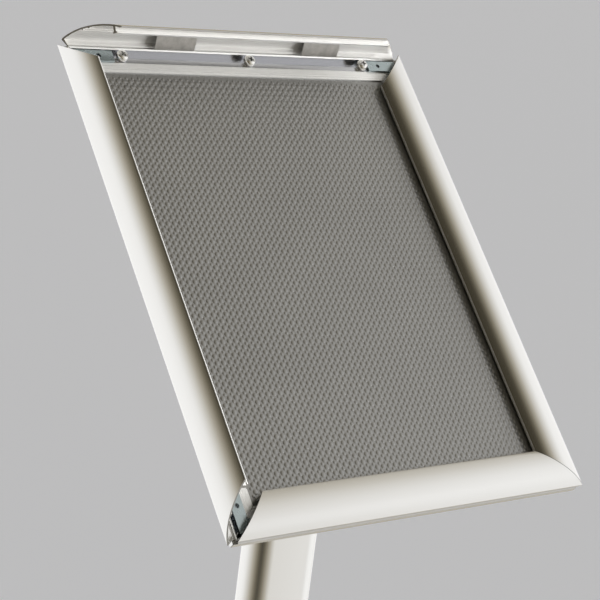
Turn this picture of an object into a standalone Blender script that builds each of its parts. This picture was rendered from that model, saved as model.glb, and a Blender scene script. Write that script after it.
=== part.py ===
"""Snap frame poster stand: a mitred snap frame on a tilt head, a flat-oval post and a round base.

The stand faces -Y, Z is up, and the origin is at the middle of its underside. Units are metres.
Run with: blender --background --python part.py
"""

import math

import bmesh
import bpy
from mathutils import Matrix, Vector

MM = 0.001

# The poster frame, measured over the closed rails
FRAME_WIDTH = 246.0 * MM
FRAME_HEIGHT = 309.0 * MM
LEAN_BACK = 45.0

# How far each cover stands open at rest, counted from closed
OPEN_ANGLE = {"bottom": 0.0, "right": 0.0, "top": 74.4, "left": 76.4}

# Running and seating clearances
SEAT_GAP = 0.3 * MM
MITRE_GAP = 0.3 * MM

# Base rail section: s runs inward from the rail's outer edge, z forward from its back
RAIL_WIDTH = 25.0 * MM
RAIL_FLOOR = 1.2 * MM
RAIL_BACK_INSET = 0.3 * MM
STRIP_TOP = 4.7 * MM
STRIP_INNER = 18.65 * MM
CHANNEL_INNER = 8.85 * MM
LEDGE_TOP = 2.2 * MM
HINGE_S = 1.1 * MM
HINGE_Z = 4.2 * MM
HINGE_WALL = 0.6 * MM
SOCKET_START = -124.0
SOCKET_END = 57.0
SHELF_DROP = 0.6 * MM

# Cover section: a crowned wall that falls to the inner edge and rolls over at the outer one
BEAD_RADIUS = 0.95 * MM
COVER_WALL = 1.0 * MM
CREST_S = 11.0 * MM
CREST_Z = 13.0 * MM
INNER_ARC_RADIUS = 24.0 * MM
OUTER_ARC_RADIUS = 17.3 * MM
SHOULDER_RADIUS = 1.2 * MM
LIP_S = 22.2 * MM
LIP_WALL = 0.9 * MM
LIP_TIP_Z = 5.0 * MM
LIP_FOOT = 0.45 * MM
LIP_FOOT_HEIGHT = 0.7 * MM
BEAD_END_MARGIN = 0.05 * MM
RIB_SPREAD = 1.4 * MM
RIB_WIDTH = 0.6 * MM
RIB_HEIGHT = 0.6 * MM

# Leaf springs: two strips of spring steel between each base rail and its cover
LEAF_WIDTH = 28.0 * MM
LEAF_LENGTH = 9.6 * MM
LEAF_THICKNESS = 0.4 * MM
LEAF_BOW = 0.4 * MM
LEAF_HEEL_ANGLE = 60.0
LEAF_CLOSED_ANGLE = 32.5
LEAF_RATIO = 1.22
LEAF_FROM_START = 65.0 * MM
LEAF_FROM_END = 73.0 * MM
LEAF_RIB_S = 10.5 * MM

# Backing sheet in the frame's opening
SHEET_THICKNESS = 1.5 * MM

# Corner plates: flat steel angles over the rails' channels, on the edge of the strips
PLATE_LEG = 29.3 * MM
PLATE_OUTER = 4.6 * MM
PLATE_WIDTH = 7.4 * MM
PLATE_THICKNESS = 1.5 * MM
PLATE_HOLE_RADIUS = 1.4 * MM
PLATE_HOLE_FROM_CORNER = 19.6 * MM

# Pan-head screws through the rails' channels, their heads on the edge of the strips
SCREW_HEAD_RADIUS = 3.8 * MM
SCREW_HEAD_HEIGHT = 3.6 * MM
SCREW_SHANK_RADIUS = 1.85 * MM
SCREW_HOLE_RADIUS = 2.15 * MM
SCREW_OUTSIDE_STRIP = 0.95 * MM
SCREW_FROM_START = 32.2 * MM
SCREW_FROM_END = 35.5 * MM
STRAP_SCREW_OFFSET = -2.6 * MM
RECESS_SPAN = 3.8 * MM
RECESS_WIDTH = 0.8 * MM
RECESS_DEPTH = 1.4 * MM
SCREW_END_CHAMFER = 0.3 * MM

# Steel strap down the frame's back, and the nuts that hold it to the rails
STRAP_WIDTH = 60.0 * MM
STRAP_THICKNESS = 2.0 * MM
STRAP_END_INSET = 4.0 * MM
STRAP_NUT_RADIUS = 4.0 * MM
STRAP_NUT_HEIGHT = 3.2 * MM
STRAP_SCREW_END = 0.6 * MM

# Tilt head: two ears on the strap, a tongue on the post and the bolt through them
PIVOT_HEIGHT = 1050.0 * MM
PIVOT_BEHIND_FRAME = 14.0 * MM
PIVOT_BELOW_CENTRE = 4.0 * MM
BRACKET_WIDTH = 50.0 * MM
BRACKET_HEIGHT = 56.0 * MM
BRACKET_THICKNESS = 3.0 * MM
BRACKET_CORNER = 6.0 * MM
BRACKET_SCREW_SHORT = 0.2 * MM
EAR_RADIUS = 9.0 * MM
EAR_ROOT = 28.0 * MM
TONGUE_WIDTH = 20.0 * MM
TONGUE_RADIUS = 7.8 * MM
BRACKET_SCREW_SPACING = 38.0 * MM
M5_SHANK_RADIUS = 2.3 * MM
M5_HOLE_RADIUS = 2.6 * MM
M5_HEAD_RADIUS = 4.4 * MM
M5_HEAD_HEIGHT = 2.6 * MM
BOLT_RADIUS = 3.9 * MM
BOLT_HOLE_RADIUS = 4.2 * MM
BOLT_HEAD_RADIUS = 7.5 * MM
BOLT_HEAD_HEIGHT = 5.3 * MM
BOLT_TAIL = 1.5 * MM
WASHER_RADIUS = 8.0 * MM
WASHER_THICKNESS = 1.6 * MM
NUT_HEIGHT = 6.5 * MM

# Flat-oval post with a plug in each end
POST_DEPTH = 25.0 * MM
POST_FLAT = 25.0 * MM
POST_WALL = 2.0 * MM
POST_TOP_BELOW_PIVOT = 16.0 * MM
HEAD_CAP = 3.0 * MM
PLUG_LENGTH = 40.0 * MM
PLUG_SCREW_SPACING = 18.0 * MM
PLUG_SCREW_DEPTH = 7.0 * MM

# Base plate on four pads
BASE_RADIUS = 175.0 * MM
BASE_THICKNESS = 6.0 * MM
BASE_EDGE = 1.5 * MM
PAD_HEIGHT = 2.7 * MM
PAD_RADIUS = 12.0 * MM
PAD_CIRCLE_RADIUS = 150.0 * MM
BASE_BOLT_SPACING = 24.0 * MM
BASE_BOLT_HEAD_RADIUS = 7.8 * MM
BASE_BOLT_REACH = 22.0 * MM
BASE_BOLT_SOCKET = 2.9 * MM
BASE_BOLT_SOCKET_DEPTH = 2.4 * MM
BASE_BOLT_RIM = 0.4 * MM
BASE_BOLT_CHAMFER = 0.5 * MM
PAD_TAPER = 0.8 * MM

# Sizes that follow from the ones above
SOCKET_RADIUS = BEAD_RADIUS + SEAT_GAP
HOOK_RADIUS = SOCKET_RADIUS + HINGE_WALL
CHANNEL_OUTER = HINGE_S + HOOK_RADIUS
SCREW_S = CHANNEL_INNER - SCREW_OUTSIDE_STRIP
HOLLOW_OUTER = SCREW_S + SCREW_HOLE_RADIUS + RAIL_FLOOR
LEAF_HEEL_RADIUS = HOOK_RADIUS + LEAF_THICKNESS / 2 + SEAT_GAP
STRAP_BACK = -SEAT_GAP - STRAP_THICKNESS
BASE_TOP = PAD_HEIGHT + SEAT_GAP + BASE_THICKNESS
POST_BOTTOM = BASE_TOP + SEAT_GAP
POST_TOP = PIVOT_HEIGHT - POST_TOP_BELOW_PIVOT - SEAT_GAP


# Scene, collections and materials

for old in list(bpy.data.objects):
    bpy.data.objects.remove(old, do_unlink=True)

PARTS = bpy.data.collections.new("snap_frame_poster_stand")
CUTTERS = bpy.data.collections.new("cutters")
bpy.context.scene.collection.children.link(PARTS)
bpy.context.scene.collection.children.link(CUTTERS)


def make_material(name, colour, metallic, roughness):
    """A plain Principled material in the piece's own colour."""
    made = bpy.data.materials.new(name)
    made.use_nodes = True
    shader = made.node_tree.nodes["Principled BSDF"]
    shader.inputs["Base Color"].default_value = (*colour, 1.0)
    shader.inputs["Metallic"].default_value = metallic
    shader.inputs["Roughness"].default_value = roughness
    return made


COLOURS = {
    "anodised": ((0.78, 0.77, 0.75), 1.0, 0.28),
    "raw_aluminium": ((0.70, 0.70, 0.69), 1.0, 0.35),
    "zinc_steel": ((0.62, 0.66, 0.68), 1.0, 0.30),
    "spring_steel": ((0.30, 0.28, 0.25), 1.0, 0.42),
    "grey_sheet": ((0.22, 0.22, 0.21), 0.0, 0.55),
    "powder_coat": ((0.55, 0.55, 0.54), 0.4, 0.45),
    "rubber": ((0.03, 0.03, 0.03), 0.0, 0.80),
}


# Helpers that put shapes into the scene

def add_empty(name, parent=None, matrix=None):
    """A named reference point that pieces are parented to."""
    empty = bpy.data.objects.new(name, None)
    empty.empty_display_size = 0.02
    PARTS.objects.link(empty)
    empty.parent = parent
    if matrix is not None:
        empty.matrix_local = matrix
    return empty


def add_piece(name, mesh, colour, parent=None, matrix=None):
    """One separate physical piece, with a material of its own."""
    piece = bpy.data.objects.new(name, mesh)
    PARTS.objects.link(piece)
    piece.parent = parent
    if matrix is not None:
        piece.matrix_local = matrix
    mesh.materials.clear()
    mesh.materials.append(make_material(name, *COLOURS[colour]))
    mesh.shade_smooth()
    mesh.set_sharp_from_angle(angle=math.radians(32))
    return piece


def add_cutter(name, mesh, parent=None, matrix=None):
    """A hidden shape that only cuts or joins."""
    cutter = bpy.data.objects.new(name, mesh)
    CUTTERS.objects.link(cutter)
    cutter.parent = parent
    if matrix is not None:
        cutter.matrix_local = matrix
    cutter.display_type = "WIRE"
    cutter.hide_render = True
    return cutter


def combine(piece, other, operation):
    """Cuts, or joins, the piece with another shape."""
    modifier = piece.modifiers.new(other.name, "BOOLEAN")
    modifier.operation = operation
    modifier.solver = "EXACT"
    modifier.object = other


def arc(centre, radius, start, end, steps):
    """Points along an arc, both ends included; angles in degrees."""
    points = []
    for step in range(steps + 1):
        angle = math.radians(start + (end - start) * step / steps)
        points.append((centre[0] + radius * math.cos(angle), centre[1] + radius * math.sin(angle)))
    return points


def prism(name, outlines, length):
    """A closed solid from flat outlines (holes included), centred on its length along Z."""
    curve = bpy.data.curves.new(name, "CURVE")
    curve.dimensions = "2D"
    curve.fill_mode = "BOTH"
    curve.extrude = length / 2
    for outline in outlines:
        spline = curve.splines.new("POLY")
        spline.points.add(len(outline) - 1)
        for point, (x, y) in zip(spline.points, outline):
            point.co = (x, y, 0.0, 1.0)
        spline.use_cyclic_u = True
    drawing = bpy.data.objects.new(name, curve)
    bpy.context.scene.collection.objects.link(drawing)
    evaluated = drawing.evaluated_get(bpy.context.evaluated_depsgraph_get())
    mesh = bpy.data.meshes.new_from_object(evaluated)
    bpy.data.objects.remove(drawing, do_unlink=True)
    solid = bmesh.new()
    solid.from_mesh(mesh)
    bmesh.ops.remove_doubles(solid, verts=solid.verts, dist=1e-6)
    bmesh.ops.recalc_face_normals(solid, faces=solid.faces)
    solid.to_mesh(mesh)
    solid.free()
    return mesh


def cylinder(name, radius, height, segments, top_radius=None):
    """A capped cylinder or cone frustum standing on its origin along +Z."""
    solid = bmesh.new()
    bmesh.ops.create_cone(
        solid,
        cap_ends=True,
        segments=segments,
        radius1=radius,
        radius2=radius if top_radius is None else top_radius,
        depth=height,
        matrix=Matrix.Translation((0, 0, height / 2)),
    )
    mesh = bpy.data.meshes.new(name)
    solid.to_mesh(mesh)
    solid.free()
    return mesh


def block(name, size, centre):
    """A box of a given size about a given centre."""
    solid = bmesh.new()
    scale = Matrix.Diagonal((*size, 1.0))
    bmesh.ops.create_cube(solid, size=1.0, matrix=Matrix.Translation(centre) @ scale)
    mesh = bpy.data.meshes.new(name)
    solid.to_mesh(mesh)
    solid.free()
    return mesh


def add_turned(name, profile, segments, colour, parent=None, matrix=None):
    """A piece turned about Z from an (r, z) profile that runs from its top down its outer side."""
    mesh = bpy.data.meshes.new(name)
    edges = [(i, i + 1) for i in range(len(profile) - 1)]
    mesh.from_pydata([(r, 0.0, z) for r, z in profile], edges, [])
    piece = add_piece(name, mesh, colour, parent, matrix)
    screw = piece.modifiers.new("turn", "SCREW")
    screw.axis = "Z"
    screw.angle = math.tau
    screw.steps = segments
    screw.render_steps = segments
    screw.use_merge_vertices = True
    screw.merge_threshold = 1e-6
    screw.use_smooth_shade = True
    return piece


def add_bevel(piece, width, segments):
    """Rounded edges where the piece's faces meet at an angle."""
    bevel = piece.modifiers.new("edges", "BEVEL")
    bevel.width = width
    bevel.segments = segments
    bevel.limit_method = "ANGLE"
    bevel.angle_limit = math.radians(40)


def stadium(depth, flat, steps=8):
    """A flat-oval outline: two half circles joined by straight sides along X."""
    radius = depth / 2
    right = arc((flat / 2, 0.0), radius, -90.0, 90.0, steps)
    left = arc((-flat / 2, 0.0), radius, 90.0, 270.0, steps)
    return right + left


# Rail sections

def base_rail_outline():
    """Hinge socket, shelf for the springs, channel, and the strip and ledge over a hollow back."""
    hinge = (HINGE_S, HINGE_Z)
    shelf_angle = 40.0
    shelf_z = HINGE_Z + HOOK_RADIUS * math.sin(math.radians(shelf_angle))
    hollow_step = STRIP_INNER - RAIL_FLOOR
    hollow_inner = RAIL_WIDTH - RAIL_FLOOR
    points = [(RAIL_BACK_INSET, 0.0), (HOLLOW_OUTER, 0.0), (HOLLOW_OUTER, STRIP_TOP - RAIL_FLOOR)]
    points += [(hollow_step, STRIP_TOP - RAIL_FLOOR), (hollow_step, LEDGE_TOP - RAIL_FLOOR)]
    points += [(hollow_inner, LEDGE_TOP - RAIL_FLOOR), (hollow_inner, 0.0)]
    points += [(RAIL_WIDTH, 0.0), (RAIL_WIDTH, LEDGE_TOP), (STRIP_INNER, LEDGE_TOP)]
    points += [(STRIP_INNER, STRIP_TOP), (CHANNEL_INNER, STRIP_TOP)]
    points += [(CHANNEL_INNER, RAIL_FLOOR), (CHANNEL_OUTER, RAIL_FLOOR)]
    points += [(CHANNEL_OUTER, shelf_z - SHELF_DROP / 3)]
    points += arc(hinge, HOOK_RADIUS, shelf_angle, SOCKET_END, 2)
    points += arc(hinge, SOCKET_RADIUS, SOCKET_END, SOCKET_START, 10)
    points += [(RAIL_BACK_INSET, HINGE_Z - HOOK_RADIUS)]
    return points


def shoulder_centre():
    """Centre of the roll at the cover's outer edge, tangent to the outer arc and to s = 0."""
    reach = OUTER_ARC_RADIUS - SHOULDER_RADIUS
    across = CREST_S - SHOULDER_RADIUS
    return SHOULDER_RADIUS, CREST_Z - OUTER_ARC_RADIUS + math.sqrt(reach ** 2 - across ** 2)


def cover_outline():
    """The cover closed: crown, roll, leg and bead, and inside it the spring ribs and the lip."""
    inner_centre = (CREST_S, CREST_Z - INNER_ARC_RADIUS)
    outer_centre = (CREST_S, CREST_Z - OUTER_ARC_RADIUS)
    roll = shoulder_centre()
    edge_angle = math.degrees(math.acos((RAIL_WIDTH - CREST_S) / INNER_ARC_RADIUS))
    roll_angle = 90.0 + math.degrees(math.asin((CREST_S - roll[0]) / (OUTER_ARC_RADIUS - SHOULDER_RADIUS)))

    # The leg runs from the roll to the bead: its outer side is tangent to the roll
    half = COVER_WALL / 2
    reach = (roll[0] - HINGE_S, roll[1] - HINGE_Z)
    length = math.hypot(*reach)
    leg_angle = math.degrees(math.atan2(reach[1], reach[0])
                             + math.acos((half - SHOULDER_RADIUS) / length))
    neck = math.degrees(math.asin(half / BEAD_RADIUS))

    crown = arc(inner_centre, INNER_ARC_RADIUS, edge_angle, 90.0, 8)
    crown += arc(outer_centre, OUTER_ARC_RADIUS, 90.0, roll_angle, 8)[1:]
    crown += arc(roll, SHOULDER_RADIUS, roll_angle, leg_angle, 4)[1:]
    bead = arc((HINGE_S, HINGE_Z), BEAD_RADIUS, leg_angle - 90.0 + neck, leg_angle + 270.0 - neck, 10)
    inside = arc(roll, SHOULDER_RADIUS - COVER_WALL, leg_angle, roll_angle, 2)

    # Under the crown: the outer arc with the two ribs that keep the leaf springs in line
    first = LEAF_RIB_S - RIB_SPREAD
    second = LEAF_RIB_S + RIB_SPREAD
    inside += [under_crown(s) for s in (0.15 * first, 0.45 * first, 0.75 * first)][1:]
    inside += rib(first) + rib(second)
    lip_out = LIP_S - LIP_WALL / 2
    lip_in = LIP_S + LIP_WALL / 2
    steps = 5
    for step in range(1, steps):
        inside.append(under_crown(second + RIB_WIDTH / 2 + (lip_out - second - RIB_WIDTH / 2) * step / steps))
    foot_z = LIP_TIP_Z + LIP_FOOT_HEIGHT
    inside += [under_crown(lip_out), (lip_out, foot_z + LIP_FOOT), (lip_out - LIP_FOOT, foot_z)]
    inside += [(lip_out - LIP_FOOT, LIP_TIP_Z), (lip_in + LIP_FOOT, LIP_TIP_Z), (lip_in + LIP_FOOT, foot_z)]
    inside += [(lip_in, foot_z + LIP_FOOT), under_crown(lip_in)]

    # The free edge is a rounded nose
    nose_centre = arc(inner_centre, INNER_ARC_RADIUS - half, edge_angle, edge_angle, 1)[0]
    nose = arc(nose_centre, half, edge_angle - 180.0, edge_angle, 4)[:-1]
    return crown + bead + inside + nose


def under_crown(s):
    """A point on the cover's inner surface at a distance s from the outer edge."""
    arc_radius = INNER_ARC_RADIUS if s > CREST_S else OUTER_ARC_RADIUS
    radius = arc_radius - COVER_WALL
    return s, CREST_Z - arc_radius + math.sqrt(radius ** 2 - (s - CREST_S) ** 2)


def rib(s):
    """A small square rib that hangs from the cover's inner surface."""
    left = under_crown(s - RIB_WIDTH / 2)
    right = under_crown(s + RIB_WIDTH / 2)
    low = min(left[1], right[1]) - RIB_HEIGHT
    return [left, (left[0], low), (right[0], low), right]


def rail_mesh(name, outline, length, origin):
    """A rail along X with mitred ends; its origin moves to a point of the section."""
    mesh = prism(name, [outline], length)
    mesh.transform(Matrix(((0, 0, 1, length / 2), (1, 0, 0, 0), (0, 1, 0, 0), (0, 0, 0, 1))))
    set_back = MITRE_GAP / math.sqrt(2)
    turning = BEAD_RADIUS + BEAD_END_MARGIN
    for vertex in mesh.vertices:
        s = vertex.co.y
        # The bead ends are cut square, so they turn clear of the next rail
        if math.hypot(s - HINGE_S, vertex.co.z - HINGE_Z) < turning:
            s = HINGE_S + BEAD_RADIUS + SEAT_GAP
        if vertex.co.x < length / 2:
            vertex.co.x = s + set_back
        else:
            vertex.co.x = length - s - set_back
    mesh.transform(Matrix.Translation((0, -origin[0], -origin[1])))
    return mesh


def leaf_mesh(name):
    """A bowed strip, its heel on the origin and its tip along +Y."""
    rise = LEAF_BOW
    radius = (LEAF_LENGTH ** 2 / 4 + rise ** 2) / (2 * rise)
    half_angle = math.degrees(math.asin(LEAF_LENGTH / 2 / radius))
    centre = (LEAF_LENGTH / 2, radius - rise)
    outer = arc(centre, radius + LEAF_THICKNESS / 2, 270.0 - half_angle, 270.0 + half_angle, 5)
    inner = arc(centre, radius - LEAF_THICKNESS / 2, 270.0 + half_angle, 270.0 - half_angle, 5)
    mesh = prism(name, [outer + inner], LEAF_WIDTH)
    mesh.transform(Matrix(((0, 0, 1, 0), (1, 0, 0, 0), (0, 1, 0, 0), (0, 0, 0, 1))))
    return mesh


# Fasteners

def screw_profile(head_radius, head_height, shank_radius, length):
    """A pan head on a plain shank: z = 0 is the underside of the head."""
    crown = 0.62 * head_height
    return [
        (0.0, head_height),
        (0.45 * head_radius, 0.97 * head_height),
        (0.78 * head_radius, 0.84 * head_height),
        (0.95 * head_radius, crown),
        (head_radius, 0.35 * head_height),
        (head_radius, 0.0),
        (shank_radius, 0.0),
        (shank_radius, -length + SCREW_END_CHAMFER),
        (shank_radius - SCREW_END_CHAMFER, -length),
        (0.0, -length),
    ]


def cross_recess(name, head_height, parent, matrix):
    """The cross-shaped cutter for a driver's recess."""
    depth = 2 * RECESS_DEPTH
    centre = (0, 0, head_height)
    cross = add_cutter(name, block(name, (RECESS_SPAN, RECESS_WIDTH, depth), centre), parent, matrix)
    arm = add_cutter(name + "_arm", block(name + "_arm", (RECESS_WIDTH, RECESS_SPAN, depth), centre),
                     parent, matrix)
    combine(cross, arm, "UNION")
    return cross


def add_screw(name, head_radius, head_height, shank_radius, length, colour, parent, matrix):
    """A pan-head screw with a cross recess; its origin is under the head and its head points to +Z."""
    profile = screw_profile(head_radius, head_height, shank_radius, length)
    screw = add_turned(name, profile, 16, colour, parent, matrix)
    combine(screw, cross_recess(name + "_recess", head_height, parent, matrix), "DIFFERENCE")
    return screw


def add_nut(name, across_corners, height, hole_radius, colour, parent, matrix):
    """A hexagon nut on its bolt; its origin is in the middle of one face."""
    hexagon = arc((0.0, 0.0), across_corners, 0.0, 300.0, 5)
    hole = arc((0.0, 0.0), hole_radius, 0.0, 345.0, 23)
    mesh = prism(name, [hexagon, hole], height)
    mesh.transform(Matrix.Translation((0, 0, height / 2)))
    return add_piece(name, mesh, colour, parent, matrix)


# The frame, built in its own plane and then leaned back about the tilt bolt

pivot_matrix = Matrix.Translation((0, 0, PIVOT_HEIGHT))
lean_matrix = Matrix.Rotation(math.radians(90.0 - LEAN_BACK), 4, "X")
tilt_axis = add_empty("tilt_axis", matrix=pivot_matrix @ lean_matrix)

left_edge = -FRAME_WIDTH / 2
lower_edge = -FRAME_HEIGHT / 2 + PIVOT_BELOW_CENTRE
corners = {
    "bottom": (left_edge, lower_edge),
    "right": (left_edge + FRAME_WIDTH, lower_edge),
    "top": (left_edge + FRAME_WIDTH, lower_edge + FRAME_HEIGHT),
    "left": (left_edge, lower_edge + FRAME_HEIGHT),
}
SIDES = ("bottom", "right", "top", "left")
CORNER_NAMES = {"bottom": "bottom_left", "right": "bottom_right", "top": "top_right", "left": "top_left"}


def side_length(side):
    """The rail's length over its mitre tips."""
    return FRAME_WIDTH if side in ("bottom", "top") else FRAME_HEIGHT


def add_base_rail(side, axis):
    """A base rail with a hole in its channel for each screw."""
    length = side_length(side)
    name = "base_rail_" + side
    rail = add_piece(name, rail_mesh(name, base_rail_outline(), length, (0.0, 0.0)), "anodised", axis)
    for place in screw_places(side):
        matrix = Matrix.Translation((place, SCREW_S, -2 * RAIL_FLOOR))
        drill = add_cutter(f"{name}_drill_{place / MM:.0f}", cylinder("drill", SCREW_HOLE_RADIUS, 4 * STRIP_TOP, 16),
                           axis, matrix)
        combine(rail, drill, "DIFFERENCE")
    return rail


def screw_places(side):
    """Distances of the rail's screws from its start: one near each end, and the strap's."""
    length = side_length(side)
    places = [SCREW_FROM_START, length - SCREW_FROM_END]
    if side in ("bottom", "top"):
        places.append(length / 2 + STRAP_SCREW_OFFSET)
    return places


def add_cover(side, axis):
    """A cover rail, its origin on the hinge and turned to its rest angle."""
    name = "cover_" + side
    mesh = rail_mesh(name, cover_outline(), side_length(side), (HINGE_S, HINGE_Z))
    turn = Matrix.Rotation(math.radians(OPEN_ANGLE[side]), 4, "X")
    return add_piece(name, mesh, "anodised", axis, Matrix.Translation((0, HINGE_S, HINGE_Z)) @ turn)


def add_leaves(side, axis):
    """Two leaf springs, each turned about its heel on the base rail's shelf."""
    heel_angle = math.radians(LEAF_HEEL_ANGLE)
    heel_s = HINGE_S + LEAF_HEEL_RADIUS * math.cos(heel_angle)
    heel_z = HINGE_Z + LEAF_HEEL_RADIUS * math.sin(heel_angle)
    angle = LEAF_CLOSED_ANGLE + LEAF_RATIO * OPEN_ANGLE[side]
    turn = Matrix.Rotation(math.radians(angle), 4, "X")
    places = (LEAF_FROM_START, side_length(side) - LEAF_FROM_END)
    for number, place in enumerate(places, 1):
        name = f"leaf_spring_{side}_{number}"
        add_piece(name, leaf_mesh(name), "spring_steel", axis,
                  Matrix.Translation((place, heel_s, heel_z)) @ turn)


def add_corner_plate(side, axis):
    """An angle of flat steel on the strips' edges, at the corner where this side starts."""
    outer = PLATE_OUTER
    inner = PLATE_OUTER + PLATE_WIDTH
    start_leg = min(PLATE_LEG, SCREW_FROM_START - SCREW_HEAD_RADIUS - SEAT_GAP)
    end_leg = min(PLATE_LEG, SCREW_FROM_END - SCREW_HEAD_RADIUS - SEAT_GAP)
    angle = [(outer, outer), (start_leg, outer), (start_leg, inner), (inner, inner)]
    angle += [(inner, end_leg), (outer, end_leg)]
    middle = (outer + inner) / 2
    along = arc((PLATE_HOLE_FROM_CORNER, middle), PLATE_HOLE_RADIUS, 0.0, 330.0, 11)
    up = arc((middle, PLATE_HOLE_FROM_CORNER), PLATE_HOLE_RADIUS, 0.0, 330.0, 11)
    name = "corner_plate_" + CORNER_NAMES[side]
    mesh = prism(name, [angle, along, up], PLATE_THICKNESS)
    rise = STRIP_TOP + SEAT_GAP + PLATE_THICKNESS / 2
    add_piece(name, mesh, "zinc_steel", axis, Matrix.Translation((0, 0, rise)))


def add_rail_screws(side, axis):
    """The pan-head screws through the channel's floor; the strap's screws reach through to a nut."""
    seat = STRIP_TOP + SEAT_GAP
    short = seat
    for number, place in enumerate(screw_places(side)[:2], 1):
        add_screw(f"rail_screw_{side}_{number}", SCREW_HEAD_RADIUS, SCREW_HEAD_HEIGHT, SCREW_SHANK_RADIUS,
                  short, "zinc_steel", axis, Matrix.Translation((place, SCREW_S, seat)))
    for place in screw_places(side)[2:]:
        nut_back = STRAP_BACK - SEAT_GAP - STRAP_NUT_HEIGHT
        add_screw("strap_screw_" + side, SCREW_HEAD_RADIUS, SCREW_HEAD_HEIGHT, SCREW_SHANK_RADIUS,
                  seat - nut_back + STRAP_SCREW_END, "zinc_steel", axis, Matrix.Translation((place, SCREW_S, seat)))
        add_nut("strap_nut_" + side, STRAP_NUT_RADIUS, STRAP_NUT_HEIGHT, SCREW_HOLE_RADIUS, "zinc_steel",
                axis, Matrix.Translation((place, SCREW_S, nut_back)))


side_axes = {}
for index, side in enumerate(SIDES):
    x, y = corners[side]
    turn = Matrix.Rotation(math.radians(90.0 * index), 4, "Z")
    side_axes[side] = add_empty(side + "_side", tilt_axis, Matrix.Translation((x, y, PIVOT_BEHIND_FRAME)) @ turn)
    add_base_rail(side, side_axes[side])
    add_cover(side, side_axes[side])
    add_leaves(side, side_axes[side])
    add_corner_plate(side, side_axes[side])
    add_rail_screws(side, side_axes[side])


# Backing sheet on the rails' ledges

sheet_inset = STRIP_INNER + SEAT_GAP
sheet_size = (FRAME_WIDTH - 2 * sheet_inset, FRAME_HEIGHT - 2 * sheet_inset, SHEET_THICKNESS)
sheet_rise = PIVOT_BEHIND_FRAME + LEDGE_TOP + SEAT_GAP + SHEET_THICKNESS / 2
add_piece("backing_sheet", block("backing_sheet", sheet_size, (0, 0, 0)), "grey_sheet", tilt_axis,
          Matrix.Translation((0, PIVOT_BELOW_CENTRE, sheet_rise)))


# Strap, tilt bracket and their screws

strap_length = FRAME_HEIGHT - 2 * STRAP_END_INSET
strap_middle = PIVOT_BEHIND_FRAME + STRAP_BACK + STRAP_THICKNESS / 2
strap_outline = [
    (-STRAP_WIDTH / 2, -strap_length / 2),
    (STRAP_WIDTH / 2, -strap_length / 2),
    (STRAP_WIDTH / 2, strap_length / 2),
    (-STRAP_WIDTH / 2, strap_length / 2),
]
strap_holes = []
for side, sign in (("top", 1), ("bottom", -1)):
    hole_x = -sign * STRAP_SCREW_OFFSET
    hole_y = sign * (FRAME_HEIGHT / 2 - SCREW_S)
    strap_holes.append(arc((hole_x, hole_y), SCREW_HOLE_RADIUS, 0.0, 337.5, 15))
bracket_screws = []
for across in (-1, 1):
    for up in (-1, 1):
        spot = (across * BRACKET_SCREW_SPACING / 2, up * BRACKET_SCREW_SPACING / 2)
        bracket_screws.append(spot)
        strap_spot = (spot[0], spot[1] - PIVOT_BELOW_CENTRE)
        strap_holes.append(arc(strap_spot, M5_HOLE_RADIUS, 0.0, 337.5, 15))
add_piece("back_strap", prism("back_strap", [strap_outline] + strap_holes, STRAP_THICKNESS), "zinc_steel",
          tilt_axis, Matrix.Translation((0, PIVOT_BELOW_CENTRE, strap_middle)))

bracket_front = PIVOT_BEHIND_FRAME + STRAP_BACK - SEAT_GAP
bracket_back = bracket_front - BRACKET_THICKNESS
half_width = BRACKET_WIDTH / 2
half_height = BRACKET_HEIGHT / 2
bracket_outline = []
for cx, cy, start in ((1, -1, -90.0), (1, 1, 0.0), (-1, 1, 90.0), (-1, -1, 180.0)):
    centre = (cx * (half_width - BRACKET_CORNER), cy * (half_height - BRACKET_CORNER))
    bracket_outline += arc(centre, BRACKET_CORNER, start, start + 90.0, 4)
bracket_holes = [arc(spot, M5_HOLE_RADIUS, 0.0, 337.5, 15) for spot in bracket_screws]
bracket_plate = prism("tilt_bracket", [bracket_outline] + bracket_holes, BRACKET_THICKNESS)
bracket_plate.transform(Matrix.Translation((0, 0, (bracket_front + bracket_back) / 2)))
bracket = add_piece("tilt_bracket", bracket_plate, "zinc_steel", tilt_axis, Matrix.Identity(4))

ear_inner = TONGUE_WIDTH / 2 + SEAT_GAP
ear_middle = ear_inner + BRACKET_THICKNESS / 2
ear_outline = [(-EAR_ROOT / 2, bracket_back + BRACKET_THICKNESS / 2)]
ear_outline += arc((0.0, 0.0), EAR_RADIUS, 165.0, 375.0, 16)
ear_outline += [(EAR_ROOT / 2, bracket_back + BRACKET_THICKNESS / 2)]
ear_hole = arc((0.0, 0.0), BOLT_HOLE_RADIUS, 0.0, 345.0, 23)
for number, sign in enumerate((-1, 1), 1):
    ear = prism(f"ear_{number}", [ear_outline, ear_hole], BRACKET_THICKNESS)
    ear.transform(Matrix(((0, 0, 1, sign * ear_middle), (1, 0, 0, 0), (0, 1, 0, 0), (0, 0, 0, 1))))
    combine(bracket, add_cutter(f"ear_{number}", ear, tilt_axis, Matrix.Identity(4)), "UNION")

for number, spot in enumerate(bracket_screws, 1):
    reach = BRACKET_THICKNESS + 2 * SEAT_GAP + STRAP_THICKNESS - BRACKET_SCREW_SHORT
    facing_back = Matrix.Rotation(math.pi, 4, "X")
    add_screw(f"bracket_screw_{number}", M5_HEAD_RADIUS, M5_HEAD_HEIGHT, M5_SHANK_RADIUS, reach, "zinc_steel",
              tilt_axis, Matrix.Translation((*spot, bracket_back - SEAT_GAP)) @ facing_back)


# Tilt bolt with its washers and nut, all along the tilt axis

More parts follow.
